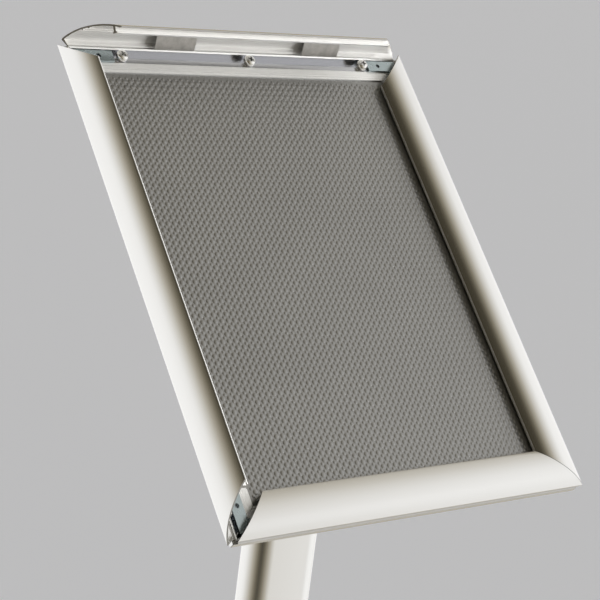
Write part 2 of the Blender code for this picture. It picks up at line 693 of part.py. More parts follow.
ear_outer = ear_inner + BRACKET_THICKNESS
washer_start = ear_outer + SEAT_GAP
clamp_face = washer_start + WASHER_THICKNESS + SEAT_GAP
along_x = Matrix.Rotation(math.pi / 2, 4, "Y")
washer_ring = [arc((0.0, 0.0), WASHER_RADIUS, 0.0, 345.0, 23), arc((0.0, 0.0), BOLT_HOLE_RADIUS, 0.0, 345.0, 23)]
for name, sign in (("tilt_washer_left", -1), ("tilt_washer_right", 1)):
    place = Matrix.Translation((sign * (washer_start + WASHER_THICKNESS / 2), 0, 0))
    add_piece(name, prism(name, washer_ring, WASHER_THICKNESS), "zinc_steel", tilt_axis, place @ along_x)

bolt_length = 2 * clamp_face + NUT_HEIGHT + SEAT_GAP + BOLT_TAIL
shank = cylinder("tilt_bolt", BOLT_RADIUS, bolt_length + BOLT_HEAD_HEIGHT / 2, 24)
shank.transform(Matrix.Translation((0, 0, -BOLT_HEAD_HEIGHT / 2)))
bolt = add_piece("tilt_bolt", shank, "zinc_steel", tilt_axis, Matrix.Translation((-clamp_face, 0, 0)) @ along_x)
bolt_head = prism("bolt_head", [arc((0.0, 0.0), BOLT_HEAD_RADIUS, 0.0, 300.0, 5)], BOLT_HEAD_HEIGHT)
bolt_head.transform(Matrix.Translation((0, 0, -BOLT_HEAD_HEIGHT / 2)))
combine(bolt, add_cutter("bolt_head", bolt_head, tilt_axis, Matrix.Translation((-clamp_face, 0, 0)) @ along_x),
        "UNION")
add_nut("tilt_nut", BOLT_HEAD_RADIUS, NUT_HEIGHT, BOLT_HOLE_RADIUS, "zinc_steel", tilt_axis,
        Matrix.Translation((clamp_face, 0, 0)) @ along_x)


# Post, with the head in its top and the foot plug in its bottom

post_axis = add_empty("post_axis", matrix=Matrix.Identity(4))
post_length = POST_TOP - POST_BOTTOM
post_outer = stadium(POST_DEPTH, POST_FLAT)
post_inner = stadium(POST_DEPTH - 2 * POST_WALL, POST_FLAT)
plug_outline = stadium(POST_DEPTH - 2 * POST_WALL - 2 * SEAT_GAP, POST_FLAT)
post = add_piece("post_tube", prism("post_tube", [post_outer, post_inner], post_length), "anodised", post_axis,
                 Matrix.Translation((0, 0, (POST_TOP + POST_BOTTOM) / 2)))

plug_top = POST_TOP + SEAT_GAP + HEAD_CAP / 2
head_mesh = prism("post_head", [plug_outline], PLUG_LENGTH)
head_mesh.transform(Matrix.Translation((0, 0, plug_top - PLUG_LENGTH / 2)))
head = add_piece("post_head", head_mesh, "raw_aluminium", post_axis, Matrix.Identity(4))
cap = prism("head_cap", [post_outer], HEAD_CAP)
cap.transform(Matrix.Translation((0, 0, POST_TOP + SEAT_GAP + HEAD_CAP / 2)))
combine(head, add_cutter("head_cap", cap, post_axis, Matrix.Identity(4)), "UNION")
tongue_foot = POST_TOP + SEAT_GAP + HEAD_CAP / 2 - PIVOT_HEIGHT
tongue_outline = arc((0.0, 0.0), TONGUE_RADIUS, 0.0, 180.0, 12)
tongue_outline += [(-TONGUE_RADIUS, tongue_foot), (TONGUE_RADIUS, tongue_foot)]
tongue_hole = arc((0.0, 0.0), BOLT_HOLE_RADIUS, 0.0, 345.0, 23)
tongue = prism("head_tongue", [tongue_outline, tongue_hole], TONGUE_WIDTH)
tongue.transform(Matrix(((0, 0, 1, 0), (1, 0, 0, 0), (0, 1, 0, PIVOT_HEIGHT), (0, 0, 0, 1))))
combine(head, add_cutter("head_tongue", tongue, post_axis, Matrix.Identity(4)), "UNION")

plug_middle = POST_BOTTOM + PLUG_LENGTH / 2
foot_plug = add_piece("foot_plug", prism("foot_plug", [plug_outline], PLUG_LENGTH), "raw_aluminium", post_axis,
                      Matrix.Translation((0, 0, plug_middle)))


def add_plug_screw(name, plug, x, z):
    """A screw through the back of the tube into a plug."""
    back_face = POST_DEPTH / 2
    out = Matrix.Rotation(-math.pi / 2, 4, "X")
    reach = POST_WALL + SEAT_GAP + PLUG_SCREW_DEPTH
    place = Matrix.Translation((x, back_face + SEAT_GAP, z)) @ out
    depth = reach + 2 * SEAT_GAP
    drill_place = Matrix.Translation((x, back_face + SEAT_GAP - depth, z)) @ out
    drill = add_cutter(name + "_drill", cylinder("drill", M5_HOLE_RADIUS, depth + POST_WALL, 16), post_axis, drill_place)
    combine(post, drill, "DIFFERENCE")
    combine(plug, drill, "DIFFERENCE")
    add_screw(name, M5_HEAD_RADIUS, M5_HEAD_HEIGHT, M5_SHANK_RADIUS, reach, "zinc_steel", post_axis, place)


for number, sign in enumerate((-1, 1), 1):
    x = sign * PLUG_SCREW_SPACING / 2
    add_plug_screw(f"head_screw_{number}", head, x, POST_TOP - PLUG_LENGTH / 2)
    add_plug_screw(f"foot_screw_{number}", foot_plug, x, plug_middle + PLUG_LENGTH / 4)


# Base plate, its two countersunk bolts and the pads under it

base_mesh = cylinder("base_plate", BASE_RADIUS, BASE_THICKNESS, 96)
base = add_piece("base_plate", base_mesh, "powder_coat", post_axis,
                 Matrix.Translation((0, 0, PAD_HEIGHT + SEAT_GAP)))
add_bevel(base, BASE_EDGE, 3)

head_flush = PAD_HEIGHT + 2 * SEAT_GAP
cone_height = BASE_BOLT_HEAD_RADIUS - BOLT_RADIUS
for number, sign in enumerate((-1, 1), 1):
    x = sign * BASE_BOLT_SPACING / 2
    name = f"base_bolt_{number}"
    place = Matrix.Translation((x, 0, head_flush))
    top = BASE_TOP - head_flush + BASE_BOLT_REACH
    profile = [(0.0, top), (BOLT_RADIUS - BASE_BOLT_CHAMFER, top), (BOLT_RADIUS, top - BASE_BOLT_CHAMFER)]
    profile += [(BOLT_RADIUS, cone_height + BASE_BOLT_RIM), (BASE_BOLT_HEAD_RADIUS, BASE_BOLT_RIM)]
    profile += [(BASE_BOLT_HEAD_RADIUS, 0.0), (0.0, 0.0)]
    base_bolt = add_turned(name, profile, 20, "zinc_steel", post_axis, place)
    socket = cylinder("socket", BASE_BOLT_SOCKET, 2 * BASE_BOLT_SOCKET_DEPTH, 6)
    socket.transform(Matrix.Translation((0, 0, -BASE_BOLT_SOCKET_DEPTH)))
    combine(base_bolt, add_cutter(name + "_socket", socket, post_axis, place), "DIFFERENCE")

    hole_top = BASE_TOP - head_flush + BASE_BOLT_REACH + SEAT_GAP
    grow = SEAT_GAP * math.sqrt(2)
    hole = [(0.0, hole_top), (BOLT_RADIUS + SEAT_GAP, hole_top)]
    hole += [(BOLT_RADIUS + SEAT_GAP, cone_height + BASE_BOLT_RIM + grow - SEAT_GAP)]
    hole += [(BASE_BOLT_HEAD_RADIUS + SEAT_GAP, BASE_BOLT_RIM + grow - SEAT_GAP)]
    hole += [(BASE_BOLT_HEAD_RADIUS + SEAT_GAP, -PAD_HEIGHT), (0.0, -PAD_HEIGHT)]
    drill = add_turned(name + "_drill", hole, 20, "zinc_steel", post_axis, place)
    PARTS.objects.unlink(drill)
    CUTTERS.objects.link(drill)
    drill.display_type = "WIRE"
    drill.hide_render = True
    combine(base, drill, "DIFFERENCE")
    combine(foot_plug, drill, "DIFFERENCE")

for number in range(4):
    angle = math.radians(45.0 + 90.0 * number)
    spot = Vector((PAD_CIRCLE_RADIUS * math.cos(angle), PAD_CIRCLE_RADIUS * math.sin(angle), 0.0))
    name = f"foot_pad_{number + 1}"
    pad_mesh = cylinder(name, PAD_RADIUS - PAD_TAPER, PAD_HEIGHT, 24, PAD_RADIUS)
    add_piece(name, pad_mesh, "rubber", post_axis, Matrix.Translation(spot))
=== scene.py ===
"""Looks of the snap frame poster stand: its studio, its finishes and its fine surfaces.

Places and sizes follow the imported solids. Lengths are in metres and angles in degrees.
"""

import math

import bmesh
import bpy
from mathutils import Matrix, Vector


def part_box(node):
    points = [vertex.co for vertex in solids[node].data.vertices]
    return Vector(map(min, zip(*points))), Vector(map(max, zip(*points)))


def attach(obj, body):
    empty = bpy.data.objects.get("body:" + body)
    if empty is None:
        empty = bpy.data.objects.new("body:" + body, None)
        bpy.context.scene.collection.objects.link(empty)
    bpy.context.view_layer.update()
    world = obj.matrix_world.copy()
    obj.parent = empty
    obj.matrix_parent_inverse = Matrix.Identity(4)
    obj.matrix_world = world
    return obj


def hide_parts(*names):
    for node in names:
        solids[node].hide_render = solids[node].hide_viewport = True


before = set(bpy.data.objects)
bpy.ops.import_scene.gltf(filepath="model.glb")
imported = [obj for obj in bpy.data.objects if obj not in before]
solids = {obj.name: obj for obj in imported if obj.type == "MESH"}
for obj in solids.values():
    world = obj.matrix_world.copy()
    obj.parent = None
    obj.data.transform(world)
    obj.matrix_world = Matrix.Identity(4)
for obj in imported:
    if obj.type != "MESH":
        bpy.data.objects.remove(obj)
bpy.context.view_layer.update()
scene = bpy.context.scene
scene.view_settings.view_transform = "Standard"


# Camera: a long lens, a little above the frame and to its left.
# It looks down on the corner between the two open covers, with only floor behind the frame.

camera_data = bpy.data.cameras.new("camera")
camera_data.lens = 102.64
camera_data.sensor_width = 36.0
camera_data.clip_end = 100.0
camera = bpy.data.objects.new("camera", camera_data)
scene.collection.objects.link(camera)
camera.location = (-0.603586, -0.763700, 1.290817)
camera.rotation_euler = (math.radians(75.6699), math.radians(-6.9681), math.radians(-36.204))
scene.camera = camera


# Studio: a pale grey floor in soft light from all round, but for a dark side behind the lens and above it.
# That side, and three dimmer patches beyond the stand, show as soft dark bands along the aluminium.

BACKGROUND_GREY = (0.512, 0.512, 0.514, 1.0)
STUDIO_WHITE = (1.10, 1.098, 1.085, 1.0)
STUDIO_SHADE = (1.36, 1.16, 0.74, 1.0)
SHADE_POWER = 1.7
DARK_ZONES = [
    # azimuth, elevation, full within, gone beyond, share of the light it takes
    (-145.0, -19.0, -4.0, 98.0, 0.98),
    (-132.0, 56.0, 15.0, 78.0, 0.96),
    (11.0, 51.0, 3.0, 71.0, 0.80),
    (66.0, -54.0, 8.0, 38.0, 0.60),
    (38.0, 14.0, 6.0, 24.0, 0.50),
]
# The floor as the metal mirrors it: azimuth, elevation, full within, gone beyond
LIT_FLOOR = (180.0, -76.0, 26.0, 50.0)
LIT_FLOOR_STRENGTH = 1.2
FLOOR_REACH = 30.0
FLOOR_PAPER = (0.770, 0.806, 0.912, 1.0)
FLOOR_GLOW = (0.98, 0.98, 1.0, 1.0)
FLOOR_LIFT = 0.17
LAMP_AIM = Vector((0, 0, 1.05))


def bearing(azimuth, elevation):
    """A direction from its angle east of +Y and its height over the horizon."""
    east = math.radians(azimuth)
    up = math.radians(elevation)
    return (math.cos(up) * math.sin(east), math.cos(up) * math.cos(east), math.sin(up))


world = bpy.data.worlds.new("studio")
scene.world = world
world.use_nodes = True
nodes, links = world.node_tree.nodes, world.node_tree.links
nodes.clear()
direction = nodes.new("ShaderNodeTexCoord").outputs["Generated"]


def round_zone(azimuth, elevation, inner, outer, near, far):
    """A soft-edged round patch of the room: one value inside it and another beyond."""
    dot = nodes.new("ShaderNodeVectorMath")
    dot.operation = "DOT_PRODUCT"
    links.new(direction, dot.inputs[0])
    dot.inputs[1].default_value = bearing(azimuth, elevation)
    angle = nodes.new("ShaderNodeMath")
    angle.operation = "ARCCOSINE"
    links.new(dot.outputs["Value"], angle.inputs[0])
    zone = nodes.new("ShaderNodeMapRange")
    zone.interpolation_type = "SMOOTHSTEP"
    zone.inputs["From Min"].default_value = math.radians(inner)
    zone.inputs["From Max"].default_value = math.radians(outer)
    zone.inputs["To Min"].default_value = near
    zone.inputs["To Max"].default_value = far
    links.new(angle.outputs[0], zone.inputs["Value"])
    return zone.outputs["Result"]


def combined(operation, first, second):
    """Two values joined by one operation."""
    joined = nodes.new("ShaderNodeMath")
    joined.operation = operation
    for socket, value in zip(joined.inputs, (first, second)):
        if isinstance(value, float):
            socket.default_value = value
        else:
            links.new(value, socket)
    return joined.outputs[0]


light_left = 1.0
for azimuth, elevation, inner, outer, share in DARK_ZONES:
    zone = round_zone(azimuth, elevation, inner, outer, 1.0 - share, 1.0)
    light_left = combined("MULTIPLY", light_left, zone)
light_left = combined("MAXIMUM", light_left, round_zone(*LIT_FLOOR, LIT_FLOOR_STRENGTH, 0.0))
shade = combined("MAXIMUM", combined("SUBTRACT", 1.0, light_left), 0.0)
tone = nodes.new("ShaderNodeMix")
tone.data_type = "RGBA"
links.new(combined("POWER", shade, SHADE_POWER), tone.inputs["Factor"])
tone.inputs["A"].default_value = STUDIO_WHITE
tone.inputs["B"].default_value = STUDIO_SHADE
studio_light = nodes.new("ShaderNodeBackground")
links.new(tone.outputs["Result"], studio_light.inputs["Color"])
links.new(light_left, studio_light.inputs["Strength"])
backdrop = nodes.new("ShaderNodeBackground")
backdrop.inputs["Color"].default_value = BACKGROUND_GREY
ray = nodes.new("ShaderNodeLightPath")
choice = nodes.new("ShaderNodeMixShader")
links.new(ray.outputs["Is Camera Ray"], choice.inputs["Fac"])
links.new(studio_light.outputs[0], choice.inputs[1])
links.new(backdrop.outputs[0], choice.inputs[2])
world_out = nodes.new("ShaderNodeOutputWorld")
links.new(choice.outputs[0], world_out.inputs["Surface"])

floor_mesh = bpy.data.meshes.new("studio_floor")
floor_mesh.from_pydata(
    [(-FLOOR_REACH, -FLOOR_REACH, 0), (FLOOR_REACH, -FLOOR_REACH, 0),
     (FLOOR_REACH, FLOOR_REACH, 0), (-FLOOR_REACH, FLOOR_REACH, 0)],
    [],
    [(0, 1, 2, 3)],
)
floor = bpy.data.objects.new("studio_floor", floor_mesh)
scene.collection.objects.link(floor)
floor_paint = bpy.data.materials.new("floor_paper")
floor_paint.use_nodes = True
floor_tree = floor_paint.node_tree
floor_shader = floor_tree.nodes["Principled BSDF"]
floor_shader.inputs["Base Color"].default_value = FLOOR_PAPER
floor_shader.inputs["Roughness"].default_value = 0.9
floor_shader.inputs["Specular IOR Level"].default_value = 0.1
floor_shader.inputs["Emission Color"].default_value = FLOOR_GLOW
floor_ray = floor_tree.nodes.new("ShaderNodeLightPath")
lift = floor_tree.nodes.new("ShaderNodeMath")
lift.operation = "MULTIPLY"
lift.inputs[1].default_value = FLOOR_LIFT
floor_tree.links.new(floor_ray.outputs["Is Camera Ray"], lift.inputs[0])
floor_tree.links.new(lift.outputs[0], floor_shader.inputs["Emission Strength"])
floor_mesh.materials.append(floor_paint)
floor.visible_glossy = False
floor.visible_diffuse = False
floor.visible_shadow = False

key_light = bpy.data.lights.new("right_softbox", "AREA")
key_light.shape = "RECTANGLE"
key_light.size = 0.5
key_light.size_y = 0.7
key_light.energy = 2.3
key_light.spread = math.radians(70.0)
key_lamp = bpy.data.objects.new("right_softbox", key_light)
scene.collection.objects.link(key_lamp)
key_lamp.location = (0.62, -0.52, 1.16)
key_lamp.rotation_euler = (LAMP_AIM - key_lamp.location).to_track_quat("-Z", "Y").to_euler()
key_lamp.visible_glossy = False


# Post: a flat-oval aluminium tube, extruded and satin anodised.
# It is sawn square at both ends, and round holes through its back take the plugs' screws.

POST_DEPTH = 0.025
POST_FLAT = 0.025
POST_WALL = 0.002
HALF_TURN_STEPS = 40
PLUG_SCREWS = ["head_screw_1", "head_screw_2", "foot_screw_1", "foot_screw_2"]
PLUG_HOLE_RADIUS = 0.0026
PLUG_HOLE_REACH = 0.03
SHARP_ANGLE = 28.0
LINES_ALONG = 3.0
LINES_ACROSS = 1400.0
DUST_SCALE = 2600.0
DUST_SHARE = 0.4


def paint(name, colour, metallic, roughness):
    """A Principled material and its node tree."""
    made = bpy.data.materials.new(name)
    made.use_nodes = True
    shader = made.node_tree.nodes["Principled BSDF"]
    shader.inputs["Base Color"].default_value = (*colour, 1.0)
    shader.inputs["Metallic"].default_value = metallic
    shader.inputs["Roughness"].default_value = roughness
    return made, made.node_tree, shader


def add_node(tree, kind, values=None, **settings):
    """A node with its settings and its unlinked inputs filled in."""
    node = tree.nodes.new(kind)
    for key, value in settings.items():
        setattr(node, key, value)
    for key, value in (values or {}).items():
        node.inputs[key].default_value = value
    return node


def pattern(tree, kind, values, **settings):
    """A pattern in the piece's own coordinates, so that it lies still on the piece."""
    place = add_node(tree, "ShaderNodeTexCoord")
    made = add_node(tree, kind, values, **settings)
    tree.links.new(place.outputs["Object"], made.inputs["Vector"])
    return made


def relief(tree, shader, height, strength, depth):
    """Fine relief that follows a pattern."""
    bump = add_node(tree, "ShaderNodeBump", {"Strength": strength, "Distance": depth})
    tree.links.new(height, bump.inputs["Height"])
    tree.links.new(bump.outputs["Normal"], shader.inputs["Normal"])


def uneven_gloss(tree, shader, source, low, high, start=0.3, end=0.7):
    """A roughness that runs from low to high with a pattern."""
    gloss = add_node(tree, "ShaderNodeMapRange",
                     {"From Min": start, "From Max": end, "To Min": low, "To Max": high})
    tree.links.new(source, gloss.inputs["Value"])
    tree.links.new(gloss.outputs["Result"], shader.inputs["Roughness"])


def drawn_finish(name, colour, metallic, roughness, spread, line_depth):
    """Drawn aluminium: its fine lines follow a UV map, whose U runs along it and V round its section."""
    made, tree, shader = paint(name, colour, metallic, roughness)
    flat = add_node(tree, "ShaderNodeUVMap", uv_map="along")
    stretch = add_node(tree, "ShaderNodeMapping", {"Scale": (LINES_ALONG, LINES_ACROSS, 1.0)})
    tree.links.new(flat.outputs[0], stretch.inputs["Vector"])
    lines = add_node(tree, "ShaderNodeTexNoise", {"Scale": 1.0, "Detail": 3.0, "Roughness": 0.6})
    tree.links.new(stretch.outputs[0], lines.inputs["Vector"])
    dust = pattern(tree, "ShaderNodeTexNoise", {"Scale": DUST_SCALE, "Detail": 2.0, "Roughness": 0.5})
    uneven_gloss(tree, shader, lines.outputs["Fac"], roughness - spread, roughness + spread)
    line_bump = add_node(tree, "ShaderNodeBump", {"Strength": 1.0, "Distance": line_depth})
    tree.links.new(lines.outputs["Fac"], line_bump.inputs["Height"])
    dust_bump = add_node(tree, "ShaderNodeBump", {"Strength": 1.0, "Distance": DUST_SHARE * line_depth})
    tree.links.new(dust.outputs["Fac"], dust_bump.inputs["Height"])
    tree.links.new(line_bump.outputs["Normal"], dust_bump.inputs["Normal"])
    tree.links.new(dust_bump.outputs["Normal"], shader.inputs["Normal"])
    return made


def arc(centre, radius, start, end, steps):
    """Points along an arc, both ends included."""
    points = []
    for step in range(steps + 1):
        angle = math.radians(start + (end - start) * step / steps)
        points.append((centre[0] + radius * math.cos(angle), centre[1] + radius * math.sin(angle)))
    return points


def metal_piece(name, shape, finishes):
    """The object of a finished shape: smooth all over, but sharp where its faces meet at an angle."""
    bmesh.ops.recalc_face_normals(shape, faces=shape.faces)
    mesh = bpy.data.meshes.new(name)
    shape.to_mesh(mesh)
    shape.free()
    for finish in finishes:
        mesh.materials.append(finish)
    mesh.shade_smooth()
    mesh.set_sharp_from_angle(angle=math.radians(SHARP_ANGLE))
    piece = bpy.data.objects.new(name, mesh)
    scene.collection.objects.link(piece)
    return piece


def drill(piece, holes):
    """Cuts round holes: each is a start, a direction, a radius and a length."""
    shape = bmesh.new()
    for start, heading, radius, length in holes:
        turn = Vector(heading).to_track_quat("Z", "Y").to_matrix().to_4x4()
        middle = Matrix.Translation(Vector(start) + Vector(heading).normalized() * length / 2) @ turn
        bmesh.ops.create_cone(shape, cap_ends=True, segments=40, radius1=radius, radius2=radius,
                              depth=length, matrix=middle)
    tool_mesh = bpy.data.meshes.new("drill")
    shape.to_mesh(tool_mesh)
    shape.free()
    tool = bpy.data.objects.new("drill", tool_mesh)
    scene.collection.objects.link(tool)
    cut = piece.modifiers.new("holes", "BOOLEAN")
    cut.operation = "DIFFERENCE"
    cut.solver = "EXACT"
    cut.object = tool
    bpy.context.view_layer.update()
    drilled = bpy.data.meshes.new_from_object(piece.evaluated_get(bpy.context.evaluated_depsgraph_get()))
    piece.modifiers.clear()
    blank = piece.data
    piece.data = drilled
    drilled.set_sharp_from_angle(angle=math.radians(SHARP_ANGLE))
    drilled.name = piece.name
    bpy.data.meshes.remove(blank)
    bpy.data.objects.remove(tool)


def hand_over(piece, body, nodes_replaced):
    """The finished piece takes its solid's place."""
    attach(piece, body)
    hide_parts(*nodes_replaced)


def middle_of(node):
    """The middle of a solid's box."""
    low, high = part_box(node)
    return (low + high) / 2


post_finish = drawn_finish("post_satin_anodised", (0.80, 0.795, 0.785), metallic=1.0, roughness=0.21,
                           spread=0.02, line_depth=0.0000012)
# Sawn ends of the post, rails and covers: their dark colour is painted shade on the cut faces, with bumps
# for the saw's marks.
sawn_end_painted_shade, tree, shader = paint("sawn_aluminium", (0.30, 0.29, 0.27), metallic=1.0, roughness=0.45)
saw_marks = pattern(tree, "ShaderNodeTexNoise", {"Scale": 900.0, "Detail": 3.0})
relief(tree, shader, saw_marks.outputs["Fac"], strength=0.6, depth=0.00002)

outer_radius = POST_DEPTH / 2
bore_radius = outer_radius - POST_WALL
tube_outline = arc((POST_FLAT / 2, 0.0), outer_radius, -90.0, 90.0, HALF_TURN_STEPS)
tube_outline += arc((-POST_FLAT / 2, 0.0), outer_radius, 90.0, 270.0, HALF_TURN_STEPS)
bore_outline = arc((POST_FLAT / 2, 0.0), bore_radius, -90.0, 90.0, HALF_TURN_STEPS)
bore_outline += arc((-POST_FLAT / 2, 0.0), bore_radius, 90.0, 270.0, HALF_TURN_STEPS)
post_low, post_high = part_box("post_tube")
shape = bmesh.new()
along = shape.loops.layers.uv.new("along")
rings = []
for outline, height in ((tube_outline, post_low.z), (tube_outline, post_high.z),
                        (bore_outline, post_high.z), (bore_outline, post_low.z)):
    rings.append([shape.verts.new((x, y, height)) for x, y in outline])
count = len(tube_outline)
for number in range(len(rings)):
    lower, upper = rings[number], rings[(number + 1) % len(rings)]
    travelled = 0.0
    for i in range(count):
        j = (i + 1) % count
        wall = shape.faces.new((lower[i], lower[j], upper[j], upper[i]))
        step = (lower[j].co - lower[i].co).length
        for loop, v in zip(wall.loops, (travelled, travelled + step, travelled + step, travelled)):
            loop[along].uv = (loop.vert.co.z, v)
        travelled += step
        wall.material_index = number % 2
post = metal_piece("flat_oval_post", shape, (post_finish, sawn_end_painted_shade))
plug_holes = []
for name in PLUG_SCREWS:
    middle = middle_of(name)
    plug_holes.append(((middle.x, 0.0, middle.z), (0, 1, 0), PLUG_HOLE_RADIUS, PLUG_HOLE_REACH))
drill(post, plug_holes)
hand_over(post, "stand", ["post_tube"])


# Plugs: solid aluminium, machined, one in each end of the post.
# The upper one carries the tongue of the tilt head, and the lower one takes the base's bolts.

def finish_solids(finish, names):
    """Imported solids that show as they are, in one finish."""
    for name in names:
        solids[name].data.materials.clear()
        solids[name].data.materials.append(finish)


plug_finish, tree, shader = paint("machined_aluminium", (0.72, 0.72, 0.71), metallic=1.0, roughness=0.33)
cutter_marks = pattern(tree, "ShaderNodeTexWave", {"Scale": 420.0, "Distortion": 1.5, "Detail": 2.0},
                       wave_type="BANDS", bands_direction="Z")
relief(tree, shader, cutter_marks.outputs["Fac"], strength=0.3, depth=0.00001)
finish_solids(plug_finish, ["post_head", "foot_plug"])


# Base: a round steel plate with a fine silver powder coat.
# It is bolted from below to the lower plug and stands on four black rubber pads.

coat_finish, tree, shader = paint("silver_powder_coat", (0.50, 0.50, 0.49), metallic=0.35, roughness=0.42)
peel = pattern(tree, "ShaderNodeTexNoise", {"Scale": 1100.0, "Detail": 3.0, "Roughness": 0.55})
relief(tree, shader, peel.outputs["Fac"], strength=0.5, depth=0.00006)
fleck = pattern(tree, "ShaderNodeTexNoise", {"Scale": 5200.0, "Detail": 1.0})
uneven_gloss(tree, shader, fleck.outputs["Fac"], low=0.36, high=0.50, start=0.35, end=0.65)
finish_solids(coat_finish, ["base_plate"])

rubber_finish, tree, shader = paint("black_rubber", (0.022, 0.022, 0.023), metallic=0.0, roughness=0.78)
grit = pattern(tree, "ShaderNodeTexNoise", {"Scale": 1500.0, "Detail": 4.0})
relief(tree, shader, grit.outputs["Fac"], strength=0.5, depth=0.00005)
finish_solids(rubber_finish, [f"foot_pad_{number}" for number in range(1, 5)])


# Tilt head and back strap: bent and flat steel, zinc plated, with a bolt, washers and nuts of the same.
# The bolt clamps the bracket's two ears on the post head's tongue and holds the frame's lean.
# The two bolts that hold the base have the same plating.

STEEL_NODES = ["back_strap", "tilt_bracket", "tilt_bolt", "tilt_nut", "tilt_washer_left",
               "tilt_washer_right", "strap_nut_top", "strap_nut_bottom", "base_bolt_1", "base_bolt_2"]
zinc_finish, tree, shader = paint("zinc_plated_steel", (0.60, 0.62, 0.63), metallic=1.0, roughness=0.34)
cloud = pattern(tree, "ShaderNodeTexNoise", {"Scale": 90.0, "Detail": 4.0})
uneven_gloss(tree, shader, cloud.outputs["Fac"], low=0.28, high=0.42)
spangle = pattern(tree, "ShaderNodeTexVoronoi", {"Scale": 260.0}, feature="F1")
relief(tree, shader, spangle.outputs["Distance"], strength=0.15, depth=0.00002)
finish_solids(zinc_finish, STEEL_NODES)


# Base rails: four lengths of one aluminium extrusion, mitred at the corners, over a hollow back.
# The section has the hinge socket at its outer edge, a screw channel, a raised strip with a small step
# beside the channel, and the sheet's ledge. The channel keeps the die's gloss and mirrors the room,
# and its darker bluish colour, also on the small step, is painted shade.

FRAME_WIDTH = 0.246
FRAME_HEIGHT = 0.309
PIVOT_HEIGHT = 1.050
PIVOT_BEHIND_FRAME = 0.014
PIVOT_BELOW_CENTRE = 0.004
LEAN_BACK = 45.0
MITRE_GAP = 0.0003
RAIL_WIDTH = 0.025
RAIL_FLOOR = 0.0012
RAIL_BACK_INSET = 0.0003
STRIP_TOP = 0.0047
STRIP_INNER = 0.01865
STRIP_RISE = 0.0004
GROOVE_INNER = 0.01215
CHANNEL_INNER = 0.00885
LEDGE_TOP = 0.0022
HOLLOW_OUTER = 0.01125
HINGE = (0.0011, 0.0042)
SOCKET_RADIUS = 0.00125
SOCKET_START = -124.0
SOCKET_END = 57.0
HOOK_RADIUS = 0.00185
SHELF_ANGLE = 40.0
SHELF_EASE = 0.0002
RAIL_HOLE_RADIUS = 0.00215
RAIL_HOLE_REACH = 0.024


def extrusion(name, outline, start_of, end_of, place, finishes, finish_of=None):
    """A straight extrusion: the outline swept along X between two ends that may lean, then put in its place.

    The outline's points are (s, z), across the piece and up. Each side of it is UV mapped in metres.
    The first finish is for the cut ends, and finish_of numbers the finish of each side of the outline.
    Without it they all take finish 1.
    """
    shape = bmesh.new()
    along = shape.loops.layers.uv.new("along")
    first = [shape.verts.new((start_of(s, z), s, z)) for s, z in outline]
    last = [shape.verts.new((end_of(s, z), s, z)) for s, z in outline]
    travelled = 0.0
    count = len(outline)
    for i in range(count):
        j = (i + 1) % count
        side = shape.faces.new((first[i], first[j], last[j], last[i]))
        side.material_index = finish_of[i] if finish_of else 1
        reached = travelled + math.dist(outline[i], outline[j])
        for loop, v in zip(side.loops, (travelled, reached, reached, travelled)):
            loop[along].uv = (loop.vert.co.x, v)
        travelled = reached
    for ring in (list(reversed(first)), last):
        cap = shape.faces.new(ring)
        for loop in cap.loops:
            loop[along].uv = (loop.vert.co.y, loop.vert.co.z)
    shape.transform(place)
    return metal_piece(name, shape, finishes)


lean = Matrix.Rotation(math.radians(90.0 - LEAN_BACK), 4, "X")
tilt_place = Matrix.Translation((0, 0, PIVOT_HEIGHT)) @ lean
left_edge = -FRAME_WIDTH / 2
lower_edge = -FRAME_HEIGHT / 2 + PIVOT_BELOW_CENTRE
side_starts = {
    "bottom": (left_edge, lower_edge, FRAME_WIDTH),
    "right": (left_edge + FRAME_WIDTH, lower_edge, FRAME_HEIGHT),
    "top": (left_edge + FRAME_WIDTH, lower_edge + FRAME_HEIGHT, FRAME_WIDTH),
    "left": (left_edge, lower_edge + FRAME_HEIGHT, FRAME_HEIGHT),
}
side_places = {}
side_lengths = {}
for turns, (side, (x, y, length)) in enumerate(side_starts.items()):
    turn = Matrix.Rotation(math.radians(90.0 * turns), 4, "Z")
    side_places[side] = tilt_place @ Matrix.Translation((x, y, PIVOT_BEHIND_FRAME)) @ turn
    side_lengths[side] = length

channel_outer = HINGE[0] + HOOK_RADIUS
hollow_step = STRIP_INNER - RAIL_FLOOR
hollow_inner = RAIL_WIDTH - RAIL_FLOOR
shelf_z = HINGE[1] + HOOK_RADIUS * math.sin(math.radians(SHELF_ANGLE)) - SHELF_EASE
rail_outline = [(RAIL_BACK_INSET, 0.0), (HOLLOW_OUTER, 0.0), (HOLLOW_OUTER, STRIP_TOP - RAIL_FLOOR)]
rail_outline += [(hollow_step, STRIP_TOP - RAIL_FLOOR), (hollow_step, LEDGE_TOP - RAIL_FLOOR)]
rail_outline += [(hollow_inner, LEDGE_TOP - RAIL_FLOOR), (hollow_inner, 0.0), (RAIL_WIDTH, 0.0)]
rail_outline += [(RAIL_WIDTH, LEDGE_TOP), (STRIP_INNER, LEDGE_TOP)]
rail_outline += [(STRIP_INNER, STRIP_TOP + STRIP_RISE), (GROOVE_INNER, STRIP_TOP + STRIP_RISE)]
rail_outline += [(GROOVE_INNER, STRIP_TOP), (CHANNEL_INNER, STRIP_TOP)]
rail_outline += [(CHANNEL_INNER, RAIL_FLOOR), (channel_outer, RAIL_FLOOR), (channel_outer, shelf_z)]
rail_outline += arc(HINGE, HOOK_RADIUS, SHELF_ANGLE, SOCKET_END, steps=5)
rail_outline += arc(HINGE, SOCKET_RADIUS, SOCKET_END, SOCKET_START, steps=36)
rail_outline += [(RAIL_BACK_INSET, HINGE[1] - HOOK_RADIUS)]
